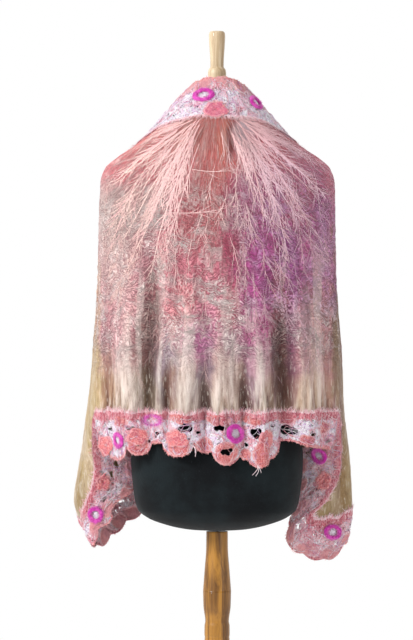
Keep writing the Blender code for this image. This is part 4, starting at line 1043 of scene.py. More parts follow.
# the sides and ends: name, columns, petals, the end that meets another band and where, seed
for name, first, last, petals, end, other, otherEnd, seed in (
    ("left_side", columnOf(0), columnOf(12), (0.042, 0.008, 0.20), -1, "hem_back", 0, 43),
    ("right_side", columnOf(76), columnOf(84), (0.044, 0.008, 0.10), 0, "hem_back", -1, 45),
    ("left_end", columnOf(0), 0, (0.042, 0.007, 0.35), 0, "left_side", 0, 47),
    ("right_end", columnOf(84), lastCol, (0.042, 0.007, 0.30), 0, "right_side", -1, 49),
):
    beside = name.endswith("_side")
    count, stretch, bulge = (200, 1.0, -0.004) if beside else (300, 1.15, 0.003)
    rowPath, colPath, seam = seamLine(first, last, count, stretch)
    at = placeOf(colPath) if beside else outward(colPath)
    free = scalloped(seam, edgeOf(name, at, -1.0 if name == "left_end" else 1.0), *petals)
    freeEdges[name] = drawnTo(free, end, freeEdges[other][otherEnd], 5)
    laceGrids[name] = laceGrid(rowPath, colPath, seam, freeEdges[name], (-1, 0), bulge, seed)

rowPath, colPath, seam = seamLine(columnOf(0), columnOf(88), 300, calm=7, row=0.0)
napeU = placeOf(colPath) / 44 - 1
collarEdge = drape(napeU * 0.995, read(laceValues["collar"], "u", "z", np.abs(napeU)))
freeEdges["collar"] = scalloped(seam, collarEdge, 0.034, 0.003, 0.15)
laceGrids["collar"] = laceGrid(rowPath, colPath, seam, freeEdges["collar"], (1, 0), 0.0035, 51)

for side, name, start, end, collarEnd in (
    (-1, "left", columnOf(0), 0.0, 0), (1, "right", columnOf(88), lastCol, -1),
):
    rowLine = np.concatenate([np.zeros(200), np.linspace(0, lastRow, 300)])
    colLine = np.concatenate([np.linspace(start, end, 200), np.full(300, end)])
    rowPath, colPath = evenly(rowLine, colLine, laceValues["cell"] * 1.3)
    seam = calmed(sample(silkPoints, colPath, rowPath), 3)
    share = lengths(seam) / lengths(seam)[-1]
    free = scalloped(seam, edgeOf("front", share, side), 0.046, 0.007, 0.2 if side < 0 else 0.55)
    free = drawnTo(free, 0, freeEdges["collar"][collarEnd], 9)
    free = drawnTo(free, -1, freeEdges[name + "_end"][-1], 9)
    down = rowPath > 0
    inward = (np.where(down, 0.0, 1.0), np.where(down, -float(side), 0.0))
    laceGrids[name + "_front"] = laceGrid(rowPath, colPath, seam, free, inward, 0.002, 53)

# neighbouring laces are one felted border, so each pair ends on one shared line
for one, oneEnd, two, twoEnd in (
    ("hem_back", 0, "left_side", -1), ("hem_back", -1, "right_side", 0), ("left_side", 0, "left_end", 0),
    ("right_side", -1, "right_end", 0), ("collar", 0, "left_front", 0), ("collar", -1, "right_front", 0),
    ("left_front", -1, "left_end", -1), ("right_front", -1, "right_end", -1),
):
    shared = (laceGrids[one][:, oneEnd] + laceGrids[two][:, twoEnd]) / 2
    for name, end in ((one, oneEnd), (two, twoEnd)):
        grid = laceGrids[name]
        steps = np.arange(grid.shape[1]) if end == 0 else np.arange(grid.shape[1])[::-1]
        weight = ease(1 - steps / min(14, grid.shape[1] - 1))
        grid += (shared - grid[:, end])[:, None] * weight[None, :, None]
print("lace grids", {name: grid.shape[:2] for name, grid in laceGrids.items()})


def laceFinish():
    finish = Finish("feltedLace")
    place = finish.place()
    x, y, z = finish.split(place)
    petal, rim, across, blush = (finish.read(name) for name in ("petal", "rim", "across", "blush"))
    big = finish.noise(place, 30, 3, 0.6, 0.6)
    fine = finish.noise(finish.joined(x, y, z * 0.6), 340, 3, 0.7, 1.8)
    knots = finish.noise(place, 170, 4, 0.7, 2.4)
    hairs = finish.noise(finish.joined(x * 1.5, y * 1.5, z * 0.35), 300, 3, 0.65, 1.2)
    specks = finish.noise(finish.joined(x, y, z * 0.8), 230, 4, 0.75, 2.2)
    # dark flecks on the edging, where its hairs thin and its specks gather
    darkFlecks = finish.step(hairs, 0.46, 0.40) * 0.45 + finish.step(specks, 0.56, 0.61) * 0.5
    follows = {
        "big": big, "fine": fine, "knots": knots, "hairs": hairs, "specks": specks, "blush": blush,
        "rim": rim + (fine - 0.5) * 2.0,
    }
    painted = lambda key, colour=None: finish.paint(laceValues[key], follows, colour)
    pinkness = finish.step(blush + (big - 0.5) * 1.6, 0.28, 0.50) * 0.9
    net = painted("hairs", finish.mix(painted("net"), painted("pink"), pinkness))
    border = finish.step(across, 0.24, 0.04) + finish.step(across, 0.86, 0.99)
    border = finish.step(border + (knots - 0.5) * 2.2 + (big - 0.5) * 1.8, 0.30, 0.60)
    edging = finish.mix(painted("edging"), linear(*laceValues["darkFlecks"]), darkFlecks)
    net = finish.mix(net, edging, border)
    colour = finish.mix(net, painted("felt"), finish.step(petal + (knots - 0.5) * 1.1, 0.36, 0.60))
    colour = finish.mix(painted("rim", colour), painted("stain"), finish.read("stain"))
    holes = finish.step(finish.noise(place, 215, 2, 0.5, 1.0), 0.605, 0.625)
    alpha = 1 - holes * finish.step(petal, 0.5, 0.2) * finish.step(across, 0.05, 0.16)
    height = fine * 0.8 + knots * 0.9 + hairs * 0.8
    return finish.close(colour, 0.88, finish.bump(height, 1.0, 0.0022), alpha, sheen=0.35, gloss=0.12)


def threadFinish():
    finish = Finish("laceThread")
    twist = finish.noise(finish.place(), 900, 2, 0.6)
    stops = [(level, linear(*chart)) for level, chart in laceValues["thread"]]
    colour = finish.node("ShaderNodeValToRGB", {"stops": stops}, {0: finish.read("shade")})
    colour = finish.paint(laceValues["twist"], {"twist": twist}, colour)
    return finish.close(colour, 0.75, finish.bump(twist, 0.5, 0.0004), sheen=0.3, gloss=0.2)


def fuzzFinish(name, first, second):
    # loose fibres, from the first colour to the second by their shade
    finish = Finish(name)
    place = finish.place()
    colour = finish.mix(linear(*first), linear(*second), finish.read("shade"))
    colour = finish.paint(laceValues["fleck"], {"fleck": finish.noise(place, 500, 2)}, colour)
    normal = finish.bump(finish.noise(place, 900, 2), 0.3, 0.0003)
    return finish.close(colour, 0.85, normal, sheen=0.3, gloss=0.15)


lacePlain, laceThread = laceFinish(), threadFinish()
paleFuzz = fuzzFinish("paleFuzz", *laceValues["paleFuzz"])
salmonFuzz = fuzzFinish("salmonFuzz", *laceValues["salmonFuzz"])
magentaFuzz = fuzzFinish("magentaFuzz", *laceValues["magentaFuzz"])
lacePieces = {}


def laceSpots(name, grid):
    # lengthwise and crosswise metres of each point, and the band's petals and gaps in them
    body = grid[3:]
    middle = lengths(body[body.shape[0] // 2])
    s = np.broadcast_to(middle, grid.shape[:2]).copy()
    w = np.zeros(grid.shape[:2])
    w[4:] = np.cumsum(np.linalg.norm(np.diff(body, axis=0), axis=2), axis=0)
    w[:3] = -np.linalg.norm(grid[:3] - grid[3:4], axis=2)
    petals, gaps = [], []
    if name == "hem_back":
        for rows, found in ((laceValues["hemPetals"], petals), (laceValues["hemGaps"], gaps)):
            for x, z, rs, rw in rows:
                apart = np.hypot(grid[..., 0] - x, grid[..., 2] - z)
                i, j = np.unravel_index(np.argmin(apart), apart.shape)
                found.append((s[i, j], w[i, j], rs, rw))
        stain = np.zeros(s.shape)
        for x, z, rs, rw in laceValues["hemStains"]:
            d = np.hypot((grid[..., 0] - x) / rs, (grid[..., 2] - z) / rw)
            stain = np.maximum(stain, np.exp(-(((d - 0.75) / 0.28) ** 2)))
        return s, w, petals, gaps, stain
    chance = np.random.default_rng(sum(ord(letter) for letter in name))
    spacing, total = laceValues["petalSpacing"], middle[-1]
    for one in range(int(total / spacing) + 1):
        at = (one + 0.5 + chance.uniform(-0.15, 0.15)) * spacing
        j = min(np.searchsorted(middle, at), grid.shape[1] - 1)
        wide = w[-1, j]
        petals.append((at, wide - 0.011, chance.uniform(0.013, 0.019), chance.uniform(0.010, 0.015)))
        if name.endswith("_front") and one % 2 == 0:
            petals.append((at + spacing * 0.45, 0.007, chance.uniform(0.014, 0.022), 0.008))
        for again in range(2):
            size = chance.uniform(0.0035, 0.0085)
            spot = (at + chance.uniform(-0.5, 0.5) * spacing, wide * chance.uniform(0.36, 0.56))
            gaps.append((*spot, size, size * chance.uniform(0.4, 0.7)))
    # the collar has no gaps, and no gap cuts a petal or a corner
    clear = 0.10 if name.endswith("_end") else 0.012
    apart = lambda g, p: math.hypot((g[0] - p[0]) / (p[2] + g[2]), (g[1] - p[1]) / (p[3] + g[3]))
    gaps = [g for g in gaps if clear < g[0] < total - 0.012 and all(apart(g, p) > 0.9 for p in petals)]
    return s, w, petals, [] if name == "collar" else gaps, np.zeros(s.shape)


def petalRelief(s, w, petals):
    # how far each point of a band is petal and rim, and how high its felt stands there
    petal, rim, relief = np.zeros(s.shape), np.zeros(s.shape), np.zeros(s.shape)
    for ps, pw, rs, rw in petals:
        turn = np.arctan2(w - pw, s - ps)
        wobble = 1 + 0.20 * softNoise(turn * 1.3 + 9, ps * 60, 61)
        wobble = wobble + 0.06 * softNoise(turn * 4 + 20, ps * 60, 62)
        d = np.hypot((s - ps) / rs, (w - pw) / rw) * wobble
        petal = np.maximum(petal, ease((1.18 - d) / 0.32))
        rim = np.maximum(rim, np.exp(-(((d - 0.95) / 0.16) ** 2)) * (w > 0.004))
        pile = 0.0011 + 0.0007 * np.exp(-(((d - 0.9) / 0.16) ** 2))
        pile = pile + 0.0003 * np.sin(turn * 13 + ps * 900) * np.clip(d, 0, 1)
        hollow = 1 - 0.6 * np.exp(-((d / 0.25) ** 2))
        relief = np.maximum(relief, ease((1.1 - d) / 0.25) * pile * hollow)
    return petal, rim, relief


def cutGaps(s, w, gaps):
    # the cells that stay, and the places that points slide to, so that each gap has a clean edge
    rows, columns = s.shape
    col, row = np.meshgrid(np.arange(columns, dtype=float), np.arange(rows, dtype=float))
    keep = np.ones((rows - 1, columns - 1), bool)
    stepS, stepW = np.gradient(s, axis=1), np.maximum(np.gradient(w, axis=0), 1e-5)
    midS, midW = (s[1:, 1:] + s[:-1, :-1]) / 2, (w[1:, 1:] + w[:-1, :-1]) / 2

    def apart(a, b, gs, gw, rs, rw):
        uneven = 1 + 0.18 * np.sin(3 * np.arctan2(b - gw, a - gs) + gs * 700)
        return np.hypot((a - gs) / (rs * uneven), (b - gw) / (rw * uneven))

    for gs, gw, rs, rw in gaps:
        d = apart(s, w, gs, gw, rs, rw)
        keep &= apart(midS, midW, gs, gw, rs, rw) > 1
        close = (np.abs(d - 1) * min(rs, rw) < 0.6 * laceValues["cell"]) & (d > 0.2)
        pull = np.where(close, 1 / np.maximum(d, 0.2) - 1, 0)
        col, row = col + (s - gs) * pull / stepS, row + (w - gw) * pull / stepW
    return keep, col, row


def bristles(name, root, heading, tips, long, up, widths, material, chance):
    # short loose fibres, each by its root, middle and tip
    paths = np.stack([root, root + heading * long * 0.5, tips], axis=1)
    sides = np.broadcast_to(unit(np.cross(up, heading))[:, None], paths.shape)
    return strips(name, paths, sides, widths, material, chance.random(len(root)))


def laceNet(name, grid, facing, wide, chance):
    # threads that wander over the web and across its gaps
    rows, columns = grid.shape[:2]
    total = lengths(grid[rows // 2])[-1]
    count = int(total / laceValues["threadEvery"])
    draw = lambda low, high: chance.uniform(low, high, count)[:, None]
    t = np.linspace(0, 1, 11)
    angle = draw(0, 2 * math.pi) + draw(-2.4, 2.4) * t
    run = draw(0.018, 0.045) * t
    cols = draw(0, columns - 1) + run * np.cos(angle) / (total / (columns - 1))
    starts = (rows * (0.10 + 0.80 * chance.random(count)))[:, None]
    rowsAt = starts + run * np.sin(angle) / (wide.mean() / (rows - 3))
    cols = np.clip(cols, 1, columns - 2)
    rowsAt = rows - 2 - np.abs(rows - 2 - np.abs(rowsAt - 3) - 3)  # turned back at the band's edges
    rowsAt = np.clip(rowsAt, 3.5, rows - 2)
    lift = 0.0012 + 0.0008 * np.sin(t * math.pi * draw(1, 5))
    paths = sample(grid, cols, rowsAt) + sample(facing, cols, rowsAt) * lift[..., None]
    radius = draw(0.00030, 0.00052)
    return threads("lace_" + name + "_threads", paths, radius, 3, laceThread, chance.random(count))


def laceFuzz(name, grid, facing, values, material, away, chance):
    # fuzz along the free edge, or over the silk's edge where away is negative
    rows, columns = grid.shape[:2]
    density, low, high = values
    count = int(lengths(grid[rows // 2])[-1] * density)
    at = chance.uniform(0, columns - 1, count)
    here = rows - 1.2 - chance.uniform(0, 3, count) if away > 0 else chance.uniform(0, 1.2, count)
    root = sample(grid, at, here)
    ahead = unit(root - sample(grid, at, here - away))
    sideways = unit(sample(grid, at + 1, here) - sample(grid, at - 1, here))
    up = sample(facing, at, here)
    lean, long = chance.normal(0, 0.55, count)[:, None], chance.uniform(low, high, count)[:, None]
    heading = unit(ahead + sideways * lean + up * chance.uniform(-0.1, 0.35, count)[:, None])
    curl = sideways * chance.normal(0, 0.25, count)[:, None]
    root = root + up * 0.0009
    widths = np.array([0.00038, 0.00030, 0.00008])[None] * chance.uniform(0.7, 1.4, count)[:, None]
    return bristles(name, root, heading, root + (heading + curl) * long, long, up, widths, material, chance)


def laceBand(name, grid):
    # one band of lace: its web, threads, fuzz and fringe
    s, w, petals, gaps, stain = laceSpots(name, grid)
    petal, rim, relief = petalRelief(s, w, petals)
    columns = grid.shape[1]
    facing = unit(np.cross(np.gradient(grid, axis=1), np.gradient(grid, axis=0)))
    under = [silkTree.find(grid[1, k])[1] for k in range(2, columns - 2, 6)]
    if (facing[1, 2:columns - 2:6] * silkFacing.reshape(-1, 3)[under]).sum() < 0:
        facing = -facing  # the band faces as the silk under it does
    grid = grid + facing * relief[..., None]
    keep, col, row = cutGaps(s, w, gaps)
    wide = np.maximum(w[-1], 0.02)
    blush, across = np.full(w.shape, laceValues["blush"][name]), np.clip(w / wide, 0, 1)
    if name == "collar":  # white below and pink above, with no border on the silk's side
        blush, across = blush + 0.75 * ease((w / wide - 0.52) / 0.2), np.maximum(across, 0.2)
    numbers = {"petal": petal, "rim": rim, "stain": stain, "blush": blush, "across": across}
    faces = gridFaces(*w.shape, keep)
    web = makeMesh("lace_" + name + "_web", sample(grid, col, row), faces, lacePlain, numbers)
    shell = web.modifiers.new("felt wall", "SOLIDIFY")
    shell.thickness, shell.offset = laceValues["wall"], 0
    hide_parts("lace_" + name)
    chance = np.random.default_rng(len(name) + 60)
    net = laceNet(name, grid, facing, wide, chance)
    fuzz = laceFuzz("lace_" + name + "_fuzz", grid, facing, laceValues["fuzz"], salmonFuzz, 1, chance)
    fringe = laceFuzz("lace_" + name + "_fringe", grid, facing, laceValues["fringe"], paleFuzz, -1, chance)
    lacePieces[name] = (web, [net, fuzz, fringe], grid, facing)


for name, grid in laceGrids.items():
    laceBand(name, grid)

chance = np.random.default_rng(5)
loosePaths = []  # the few threads that hang from the hem
for x, count in laceValues["loose"]:
    hemGrid = laceGrids["hem_back"]
    root = hemGrid[-3, int(np.argmin(np.abs(hemGrid[-1, :, 0] - x)))]
    for one in range(count):
        t = np.linspace(0, 1, 9)
        long, lean = chance.uniform(0.010, 0.021), chance.uniform(-0.5, 0.5)
        swing = lean * t + 0.16 * np.sin(t * chance.uniform(2, 5))
        loosePaths.append(root + np.stack([long * swing, -0.0022 - 0.001 * t, -long * t], axis=1))
looseShades = chance.random(len(loosePaths)) * 0.3
looseThreads = threads("looseThreads", np.array(loosePaths), 0.00045, 4, paleFuzz, looseShades)
lacePieces["hem_back"][1].append(looseThreads)
print("lace done")


# The felt rings and rosettes: their places come from their solids, their half sizes from this list.
trimValues = {
    "rings": (
        (1, "collar", 0.02, 0.013),
        (2, "collar", 0.015, 0.014), (3, "hem_back", 0.015, 0.015), (4, "hem_back", 0.018, 0.017),
        (5, "left_side", 0.016, 0.014), (6, "right_side", 0.016, 0.015), (7, "left_end", 0.015, 0.015),
        (8, "left_end", 0.015, 0.015), (9, "right_end", 0.016, 0.015), (10, "right_end", 0.015, 0.015),
        (11, "left_front", 0.016, 0.015), (12, "left_front", 0.016, 0.015),
        (13, "left_front", 0.016, 0.015), (14, "right_front", 0.016, 0.015),
        (15, "right_front", 0.016, 0.015), (16, "right_front", 0.016, 0.015),
    ),
    "rosettes": (
        (1, "collar", 0.021, 0.015),
        (2, "hem_back", 0.016, 0.015), (3, "hem_back", 0.019, 0.015), (4, "hem_back", 0.023, 0.015),
        (5, "hem_back", 0.015, 0.014), (6, "left_side", 0.015, 0.013), (7, "right_side", 0.016, 0.014),
        (8, "left_front", 0.017, 0.015), (9, "right_front", 0.017, 0.015),
    ),
    # the middle of a ring and its thickness, as shares of its half size
    "ringReach": 0.75,
    "ringTube": 0.25,
    "fibres": 260,
    "fibreWidths": (0.0004, 0.0003, 0.0001),
    "ringThreads": 34,
    "magenta": (
        (196, 34, 158), ((226, 84, 190), "clump", 0.4, 0.62, 1),
        ((244, 168, 220), "fibre", 0.54, 0.72, 0.55),
        ((140, 18, 120), "fibre", 0.46, 0.32, 0.5),
    ),
    "salmon": (
        (218, 110, 114), ((192, 84, 104), "clump", 0.44, 0.58, 1),
        ((252, 196, 194), "fibre", 0.52, 0.58, 0.75),
        ((150, 50, 66), "specks", 0.54, 0.62, 0.6), ((250, 190, 184), "specks", 0.45, 0.38, 0.6),
        ((206, 104, 148), "z", 1.30, 1.40, 0.45), ((250, 200, 206), "rim", 0.6, 1.0, 0.4),
    ),
    "heart": (190, 76, 96),
}


def ringFinish():
    finish = Finish("magentaFelt")
    place = finish.place()
    fibre, clump = finish.noise(place, 420, 4, 0.7, 1.2), finish.noise(place, 110, 3, 0.6)
    colour = finish.paint(trimValues["magenta"], {"fibre": fibre, "clump": clump})
    return finish.close(colour, 0.9, finish.bump(fibre, 0.9, 0.0012), sheen=0.5, gloss=0.12)


def rosetteFinish():
    finish = Finish("salmonFelt")
    place = finish.place()
    fibre, clump = finish.noise(place, 380, 4, 0.7, 1.4), finish.noise(place, 90, 3, 0.6)
    follows = {
        "fibre": fibre, "clump": clump, "specks": finish.noise(place, 230, 4, 0.75, 2.2),
        "z": finish.split(place)[2], "rim": finish.read("rim") + (clump - 0.5) * 3.0,
    }
    colour = finish.paint(trimValues["salmon"], follows)
    colour = finish.mix(colour, linear(*trimValues["heart"]), finish.read("heart") * 0.4)
    return finish.close(colour, 0.9, finish.bump(fibre, 0.9, 0.0012), sheen=0.5, gloss=0.12)


magentaFelt, salmonFelt = ringFinish(), rosetteFinish()


def trimPlace(node, band):
    # the lace's axes under a ring or rosette, and the way to lay points along its curve
    centre = np.array(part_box(node)).mean(axis=0)
    grid, facing = lacePieces[band][2:4]
    flat = grid.reshape(-1, 3)
    spot = int(np.argmin(np.linalg.norm(flat - centre, axis=1)))
    i, j = divmod(spot, grid.shape[1])
    i, j = min(max(i, 4), grid.shape[0] - 4), min(max(j, 4), grid.shape[1] - 5)
    middle = flat[spot]
    away = np.linalg.norm(flat - middle, axis=1)
    under = away < 0.018
    out = unit(facing.reshape(-1, 3)[under].mean(axis=0))
    if np.dot(out, centre - flat[under].mean(axis=0)) < -0.006:
        out = -out
    right = grid[i, j + 3] - grid[i, j - 3]
    right = unit(right - out * np.dot(right, out))
    down = np.cross(out, right)
    offsets = flat[away < 0.024] - middle
    a, b, rise = offsets @ right, offsets @ down, offsets @ out
    terms = lambda p, q: np.stack([np.ones_like(p), p, q, p * p, p * q, q * q], axis=-1)
    curve = np.linalg.lstsq(terms(a, b), rise, rcond=None)[0]

    def lay(p, q, height):
        raised = terms(p, q) @ curve + height
        return middle + right * p[..., None] + down * q[..., None] + out * raised[..., None]

    return right, down, out, lay


def feltRing(number, band, halfLong, halfAcross):
    node, bare = "felt_ring_" + format(number, "02d"), trimValues["ringTube"]
    right, down, out, lay = trimPlace(node, band)
    turn = np.linspace(0, 2 * math.pi, 60, endpoint=False)[:, None]
    tilt = np.linspace(0, 2 * math.pi, 14, endpoint=False)[None]
    uneven = 1 + 0.16 * softNoise(turn * 1.6, number * 3.3, 71) + 0.10 * softNoise(turn * 5, tilt * 2, 72)
    wobble = 1 + 0.07 * np.sin(2 * turn + number) + 0.05 * softNoise(turn * 2.2, number, 73)
    reach = trimValues["ringReach"] * wobble + bare * uneven * np.cos(tilt)
    height = 0.0031 + 0.0030 * np.sin(tilt) * uneven + 0.0004 * softNoise(turn * 9, tilt * 3, 74)
    points = lay(np.cos(turn) * reach * halfLong, np.sin(turn) * reach * halfAcross, height)
    faces = gridFaces(*points.shape[:2], closed=True, looped=True)
    ring = makeMesh("feltRing" + format(number, "02d"), points, faces, magentaFelt)
    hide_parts(node)
    chance = np.random.default_rng(number)
    count = trimValues["fibres"]  # short fibres that stand off the ring
    angle, lean = chance.uniform(0, 2 * math.pi, count), chance.uniform(0, math.pi, count)
    spot = (trimValues["ringReach"] + 0.22 * np.cos(lean)) * (1 + 0.05 * chance.normal(0, 1, count))
    height = 0.0030 + 0.0026 * np.sin(lean)
    root = lay(np.cos(angle) * spot * halfLong, np.sin(angle) * spot * halfAcross, height)
    radial = right * np.cos(angle)[:, None] + down * np.sin(angle)[:, None]
    swirl = np.cross(out, radial)
    heading = radial * np.cos(lean)[:, None] + out * (0.15 + 0.5 * np.sin(lean))[:, None]
    heading = unit(heading + swirl * chance.normal(0, 0.8, count)[:, None])
    long = chance.uniform(0.0012, 0.0036, count)[:, None]
    tips = root + unit(heading + swirl * chance.normal(0, 0.5, count)[:, None]) * long
    fibre = bristles(ring.name + "Fuzz", root, heading, tips, long, out, fibreWidths, magentaFuzz, chance)
    count = trimValues["ringThreads"]  # pale threads that cross the middle of the ring
    angle = chance.uniform(0, 2 * math.pi, count)[:, None]
    t, off = np.linspace(-1, 1, 9), chance.uniform(-0.4, 0.4, count)[:, None]
    swing = off + 0.15 * np.sin(3 * t)
    a, b = np.cos(angle) * t - np.sin(angle) * swing, np.sin(angle) * t + np.cos(angle) * swing
    paths = lay(a * 0.52 * halfLong, b * 0.52 * halfAcross, 0.0016 + 0.0007 * np.sin(5 * t + angle))
    net = threads(ring.name + "Threads", paths, 0.0004, 3, laceThread, 0.42 * chance.random(count))
    lacePieces[band][1].extend([ring, fibre, net])


def feltRosette(number, band, halfLong, halfAcross):
    node = "felt_rosette_" + format(number, "02d")
    right, down, out, lay = trimPlace(node, band)
    turn = np.linspace(0, 2 * math.pi, 72, endpoint=False)[:, None]
    d = np.concatenate([np.linspace(0.04, 1, 15), [1.03, 1.0, 0.9]])[None]
    lobes = 1 + 0.05 * np.cos(5 * turn + number) + 0.20 * softNoise(turn * 1.9, number * 5.5, 81)
    height = 0.0020 + 0.0016 * (1 - np.clip(d, 0, 1) ** 3) + 0.0012 * np.exp(-(((d - 0.84) / 0.12) ** 2))
    height = height - 0.0022 * np.exp(-((d / 0.20) ** 2)) + 0.0004 * np.cos(5 * turn + number) * d
    ripple = np.sin(turn * 26 + 2 * softNoise(turn * 4, d * 3, 82)) * np.clip(d * 1.4, 0, 1)
    height = height + 0.00035 * ripple
    height[:, -2:] = np.array([0.0012, 0.0008])  # the underside
    points = lay(np.cos(turn) * d * lobes * halfLong, np.sin(turn) * d * lobes * halfAcross, height)
    rim = np.broadcast_to(np.exp(-(((d - 0.96) / 0.14) ** 2)), height.shape)
    heart = np.broadcast_to(np.exp(-((d / 0.2) ** 2)), height.shape)
    faces = gridFaces(*height.shape, looped=True)
    rosette = makeMesh(
        "feltRosette" + format(number, "02d"), points, faces, salmonFelt, {"rim": rim, "heart": heart})
    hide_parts(node)
    chance = np.random.default_rng(number + 40)
    count = trimValues["fibres"]  # short fibres over its face
    angle, spot = chance.uniform(0, 2 * math.pi, count), chance.uniform(0.25, 1.02, count)
    spot = spot * (1 + 0.035 * np.cos(5 * angle + number))
    root = lay(np.cos(angle) * spot * halfLong, np.sin(angle) * spot * halfAcross, 0.0028)
    radial = right * np.cos(angle)[:, None] + down * np.sin(angle)[:, None]
    heading = radial + out * chance.uniform(0, 0.4, count)[:, None]
    heading = unit(heading + np.cross(out, radial) * chance.normal(0, 0.5, count)[:, None])
    long = chance.uniform(0.0014, 0.0040, count)[:, None]
    tips = root + heading * long + out * 0.0004
    fibre = bristles(rosette.name + "Fuzz", root, heading, tips, long, out, fibreWidths, salmonFuzz, chance)
    lacePieces[band][1].extend([rosette, fibre])


fibreWidths = np.tile(trimValues["fibreWidths"], (trimValues["fibres"], 1))
for number, band, halfLong, halfAcross in trimValues["rings"]:
    feltRing(number, band, halfLong, halfAcross)
for number, band, halfLong, halfAcross in trimValues["rosettes"]:
    feltRosette(number, band, halfLong, halfAcross)
print("rings and rosettes done")


# The dress form and its turned stand, from the same outlines as their solids but rounder.
formValues = {
    "torso": (
        ("z", "half", "front", "back"),
        (0.72, 0.0, 0.0, 0.0), (0.724, 0.055, 0.04, 0.04), (0.732, 0.092, 0.064, 0.066),
        (0.744, 0.124, 0.082, 0.086), (0.76, 0.143, 0.093, 0.1), (0.79, 0.15, 0.099, 0.108),
        (0.85, 0.155, 0.103, 0.112), (0.93, 0.143, 0.098, 0.104), (1.04, 0.119, 0.09, 0.086),
        (1.13, 0.127, 0.102, 0.09), (1.21, 0.143, 0.118, 0.098), (1.27, 0.16, 0.112, 0.102),
        (1.33, 0.187, 0.092, 0.1), (1.362, 0.1994, 0.08, 0.092), (1.382, 0.1868, 0.072, 0.084),
        (1.4, 0.157, 0.064, 0.076), (1.42, 0.115, 0.058, 0.068), (1.442, 0.076, 0.053, 0.06),
        (1.47, 0.052, 0.048, 0.052), (1.512, 0.047, 0.046, 0.047), (1.52, 0.0, 0.0, 0.0),
    ),
    "knob": (
        ("radius", "z"),
        (0.0, 1.62), (0.0105, 1.6197), (0.014, 1.6165), (0.0146, 1.611), (0.0136, 1.59), (0.0121, 1.565),
        (0.012, 1.556), (0.0155, 1.55), (0.0165, 1.544), (0.016, 1.534), (0.022, 1.5275), (0.0235, 1.5215),
        (0.0235, 1.5205), (0.0, 1.5205),
    ),
    "pole": (
        ("radius", "z"),
        (0.0, 0.7197), (0.0193, 0.7197), (0.0196, 0.69), (0.0225, 0.65), (0.0253, 0.612), (0.0253, 0.612),
        (0.0245, 0.585), (0.0213, 0.558), (0.0226, 0.55), (0.0228, 0.534), (0.0222, 0.53), (0.0248, 0.51),
        (0.0285, 0.45), (0.03, 0.36), (0.028, 0.26), (0.0235, 0.17), (0.0215, 0.12), (0.0262, 0.108),
        (0.0225, 0.095), (0.025, 0.045), (0.0, 0.045),
    ),
    "base": (
        ("radius", "z"),
        (0.0, 0.0447), (0.038, 0.0447), (0.044, 0.041), (0.06, 0.034), (0.12, 0.027), (0.152, 0.023),
        (0.16, 0.017), (0.16, 0.005), (0.156, 0.0), (0.0, 0.0),
    ),
    # each wood: its light and dark grain, and how finely the grain repeats up the piece
    "paleWood": ((228, 206, 172), (176, 146, 108), 4.0),
    "goldenWood": ((184, 128, 46), (96, 58, 16), 3.0),
    # the jersey: dark, less dark, lint
    "jersey": ((12, 15, 18), ((24, 32, 35), "cloud", 0.35, 0.70, 1), ((48, 56, 60), "lint", 0.60, 0.74, 0.5)),
}


def between(places, parts):
    # even steps from each place to the next
    runs = [np.linspace(a, b, parts, endpoint=False) for a, b in zip(places[:-1], places[1:])]
    return np.concatenate(runs + [places[-1:]])


def lathe(name, table, node, material):
    # a turned piece: a rounded line through its outline's points, with short runs for crisp corners
    outline = np.array(table[1:], float)
    apart = np.maximum(np.linalg.norm(np.diff(outline, axis=0), axis=1), 1e-5)
    run = np.concatenate([[0], np.cumsum(apart)])
    radius, z = (smooth(run, outline[:, i], between(run, 6))[:, None] for i in (0, 1))
    turn = np.linspace(0, 2 * math.pi, 96, endpoint=False)
    points = stack(radius * np.cos(turn), radius * np.sin(turn), z * np.ones_like(turn))
    thing = makeMesh(name, points, gridFaces(len(z), 96, closed=True)[:, ::-1], material)
    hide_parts(node)


def jerseyFinish():
    finish = Finish("blackJersey")
    place = finish.place()
    x, y, z = finish.split(place)
    rib = finish.wave(finish.joined(x + y, x, z), "X", 190.0, 0.6, 1.0)
    course = finish.wave(place, "Z", 150.0, 0.6, 1.0)
    lint, cloud = finish.noise(place, 520, 3, 0.6), finish.noise(place, 14, 4, 0.6)
    colour = finish.paint(formValues["jersey"], {"lint": lint, "cloud": cloud})
    normal = finish.bump(rib * 0.5 + course * 0.5 + lint * 0.5, 0.35, 0.0006)
    return finish.close(colour, 0.80 + lint * 0.12, normal, sheen=0.08, gloss=0.12)


def woodFinish(name, light, dark, tall, flat=False):
    # the grain runs up a turned piece, or along X in the flat base
    finish = Finish(name)
    x, y, z = finish.split(finish.place())
    grain = finish.joined(x * 5, y * 60, z * 30) if flat else finish.joined(x * 60, y * 60, z * tall)
    streak = finish.noise(grain, 1.0, 5, 0.6, 1.2)
    pores = finish.noise(finish.stretched(grain, (11, 11, 6)), 1.0, 3, 0.6)
    colour = finish.mix(linear(*dark), linear(*light), finish.step(streak, 0.34, 0.66))
    colour = finish.mix(colour, linear(*dark), finish.step(pores, 0.60, 0.74) * 0.55)
    lathed = finish.noise(finish.joined(x * 8, y * 8, z * 900), 1.0, 2)
    normal = finish.bump(pores * 0.5 + lathed * 0.3, 0.25, 0.0005)
    return finish.close(colour, 0.34 + pores * 0.22, normal, coat=0.15, gloss=0.45)


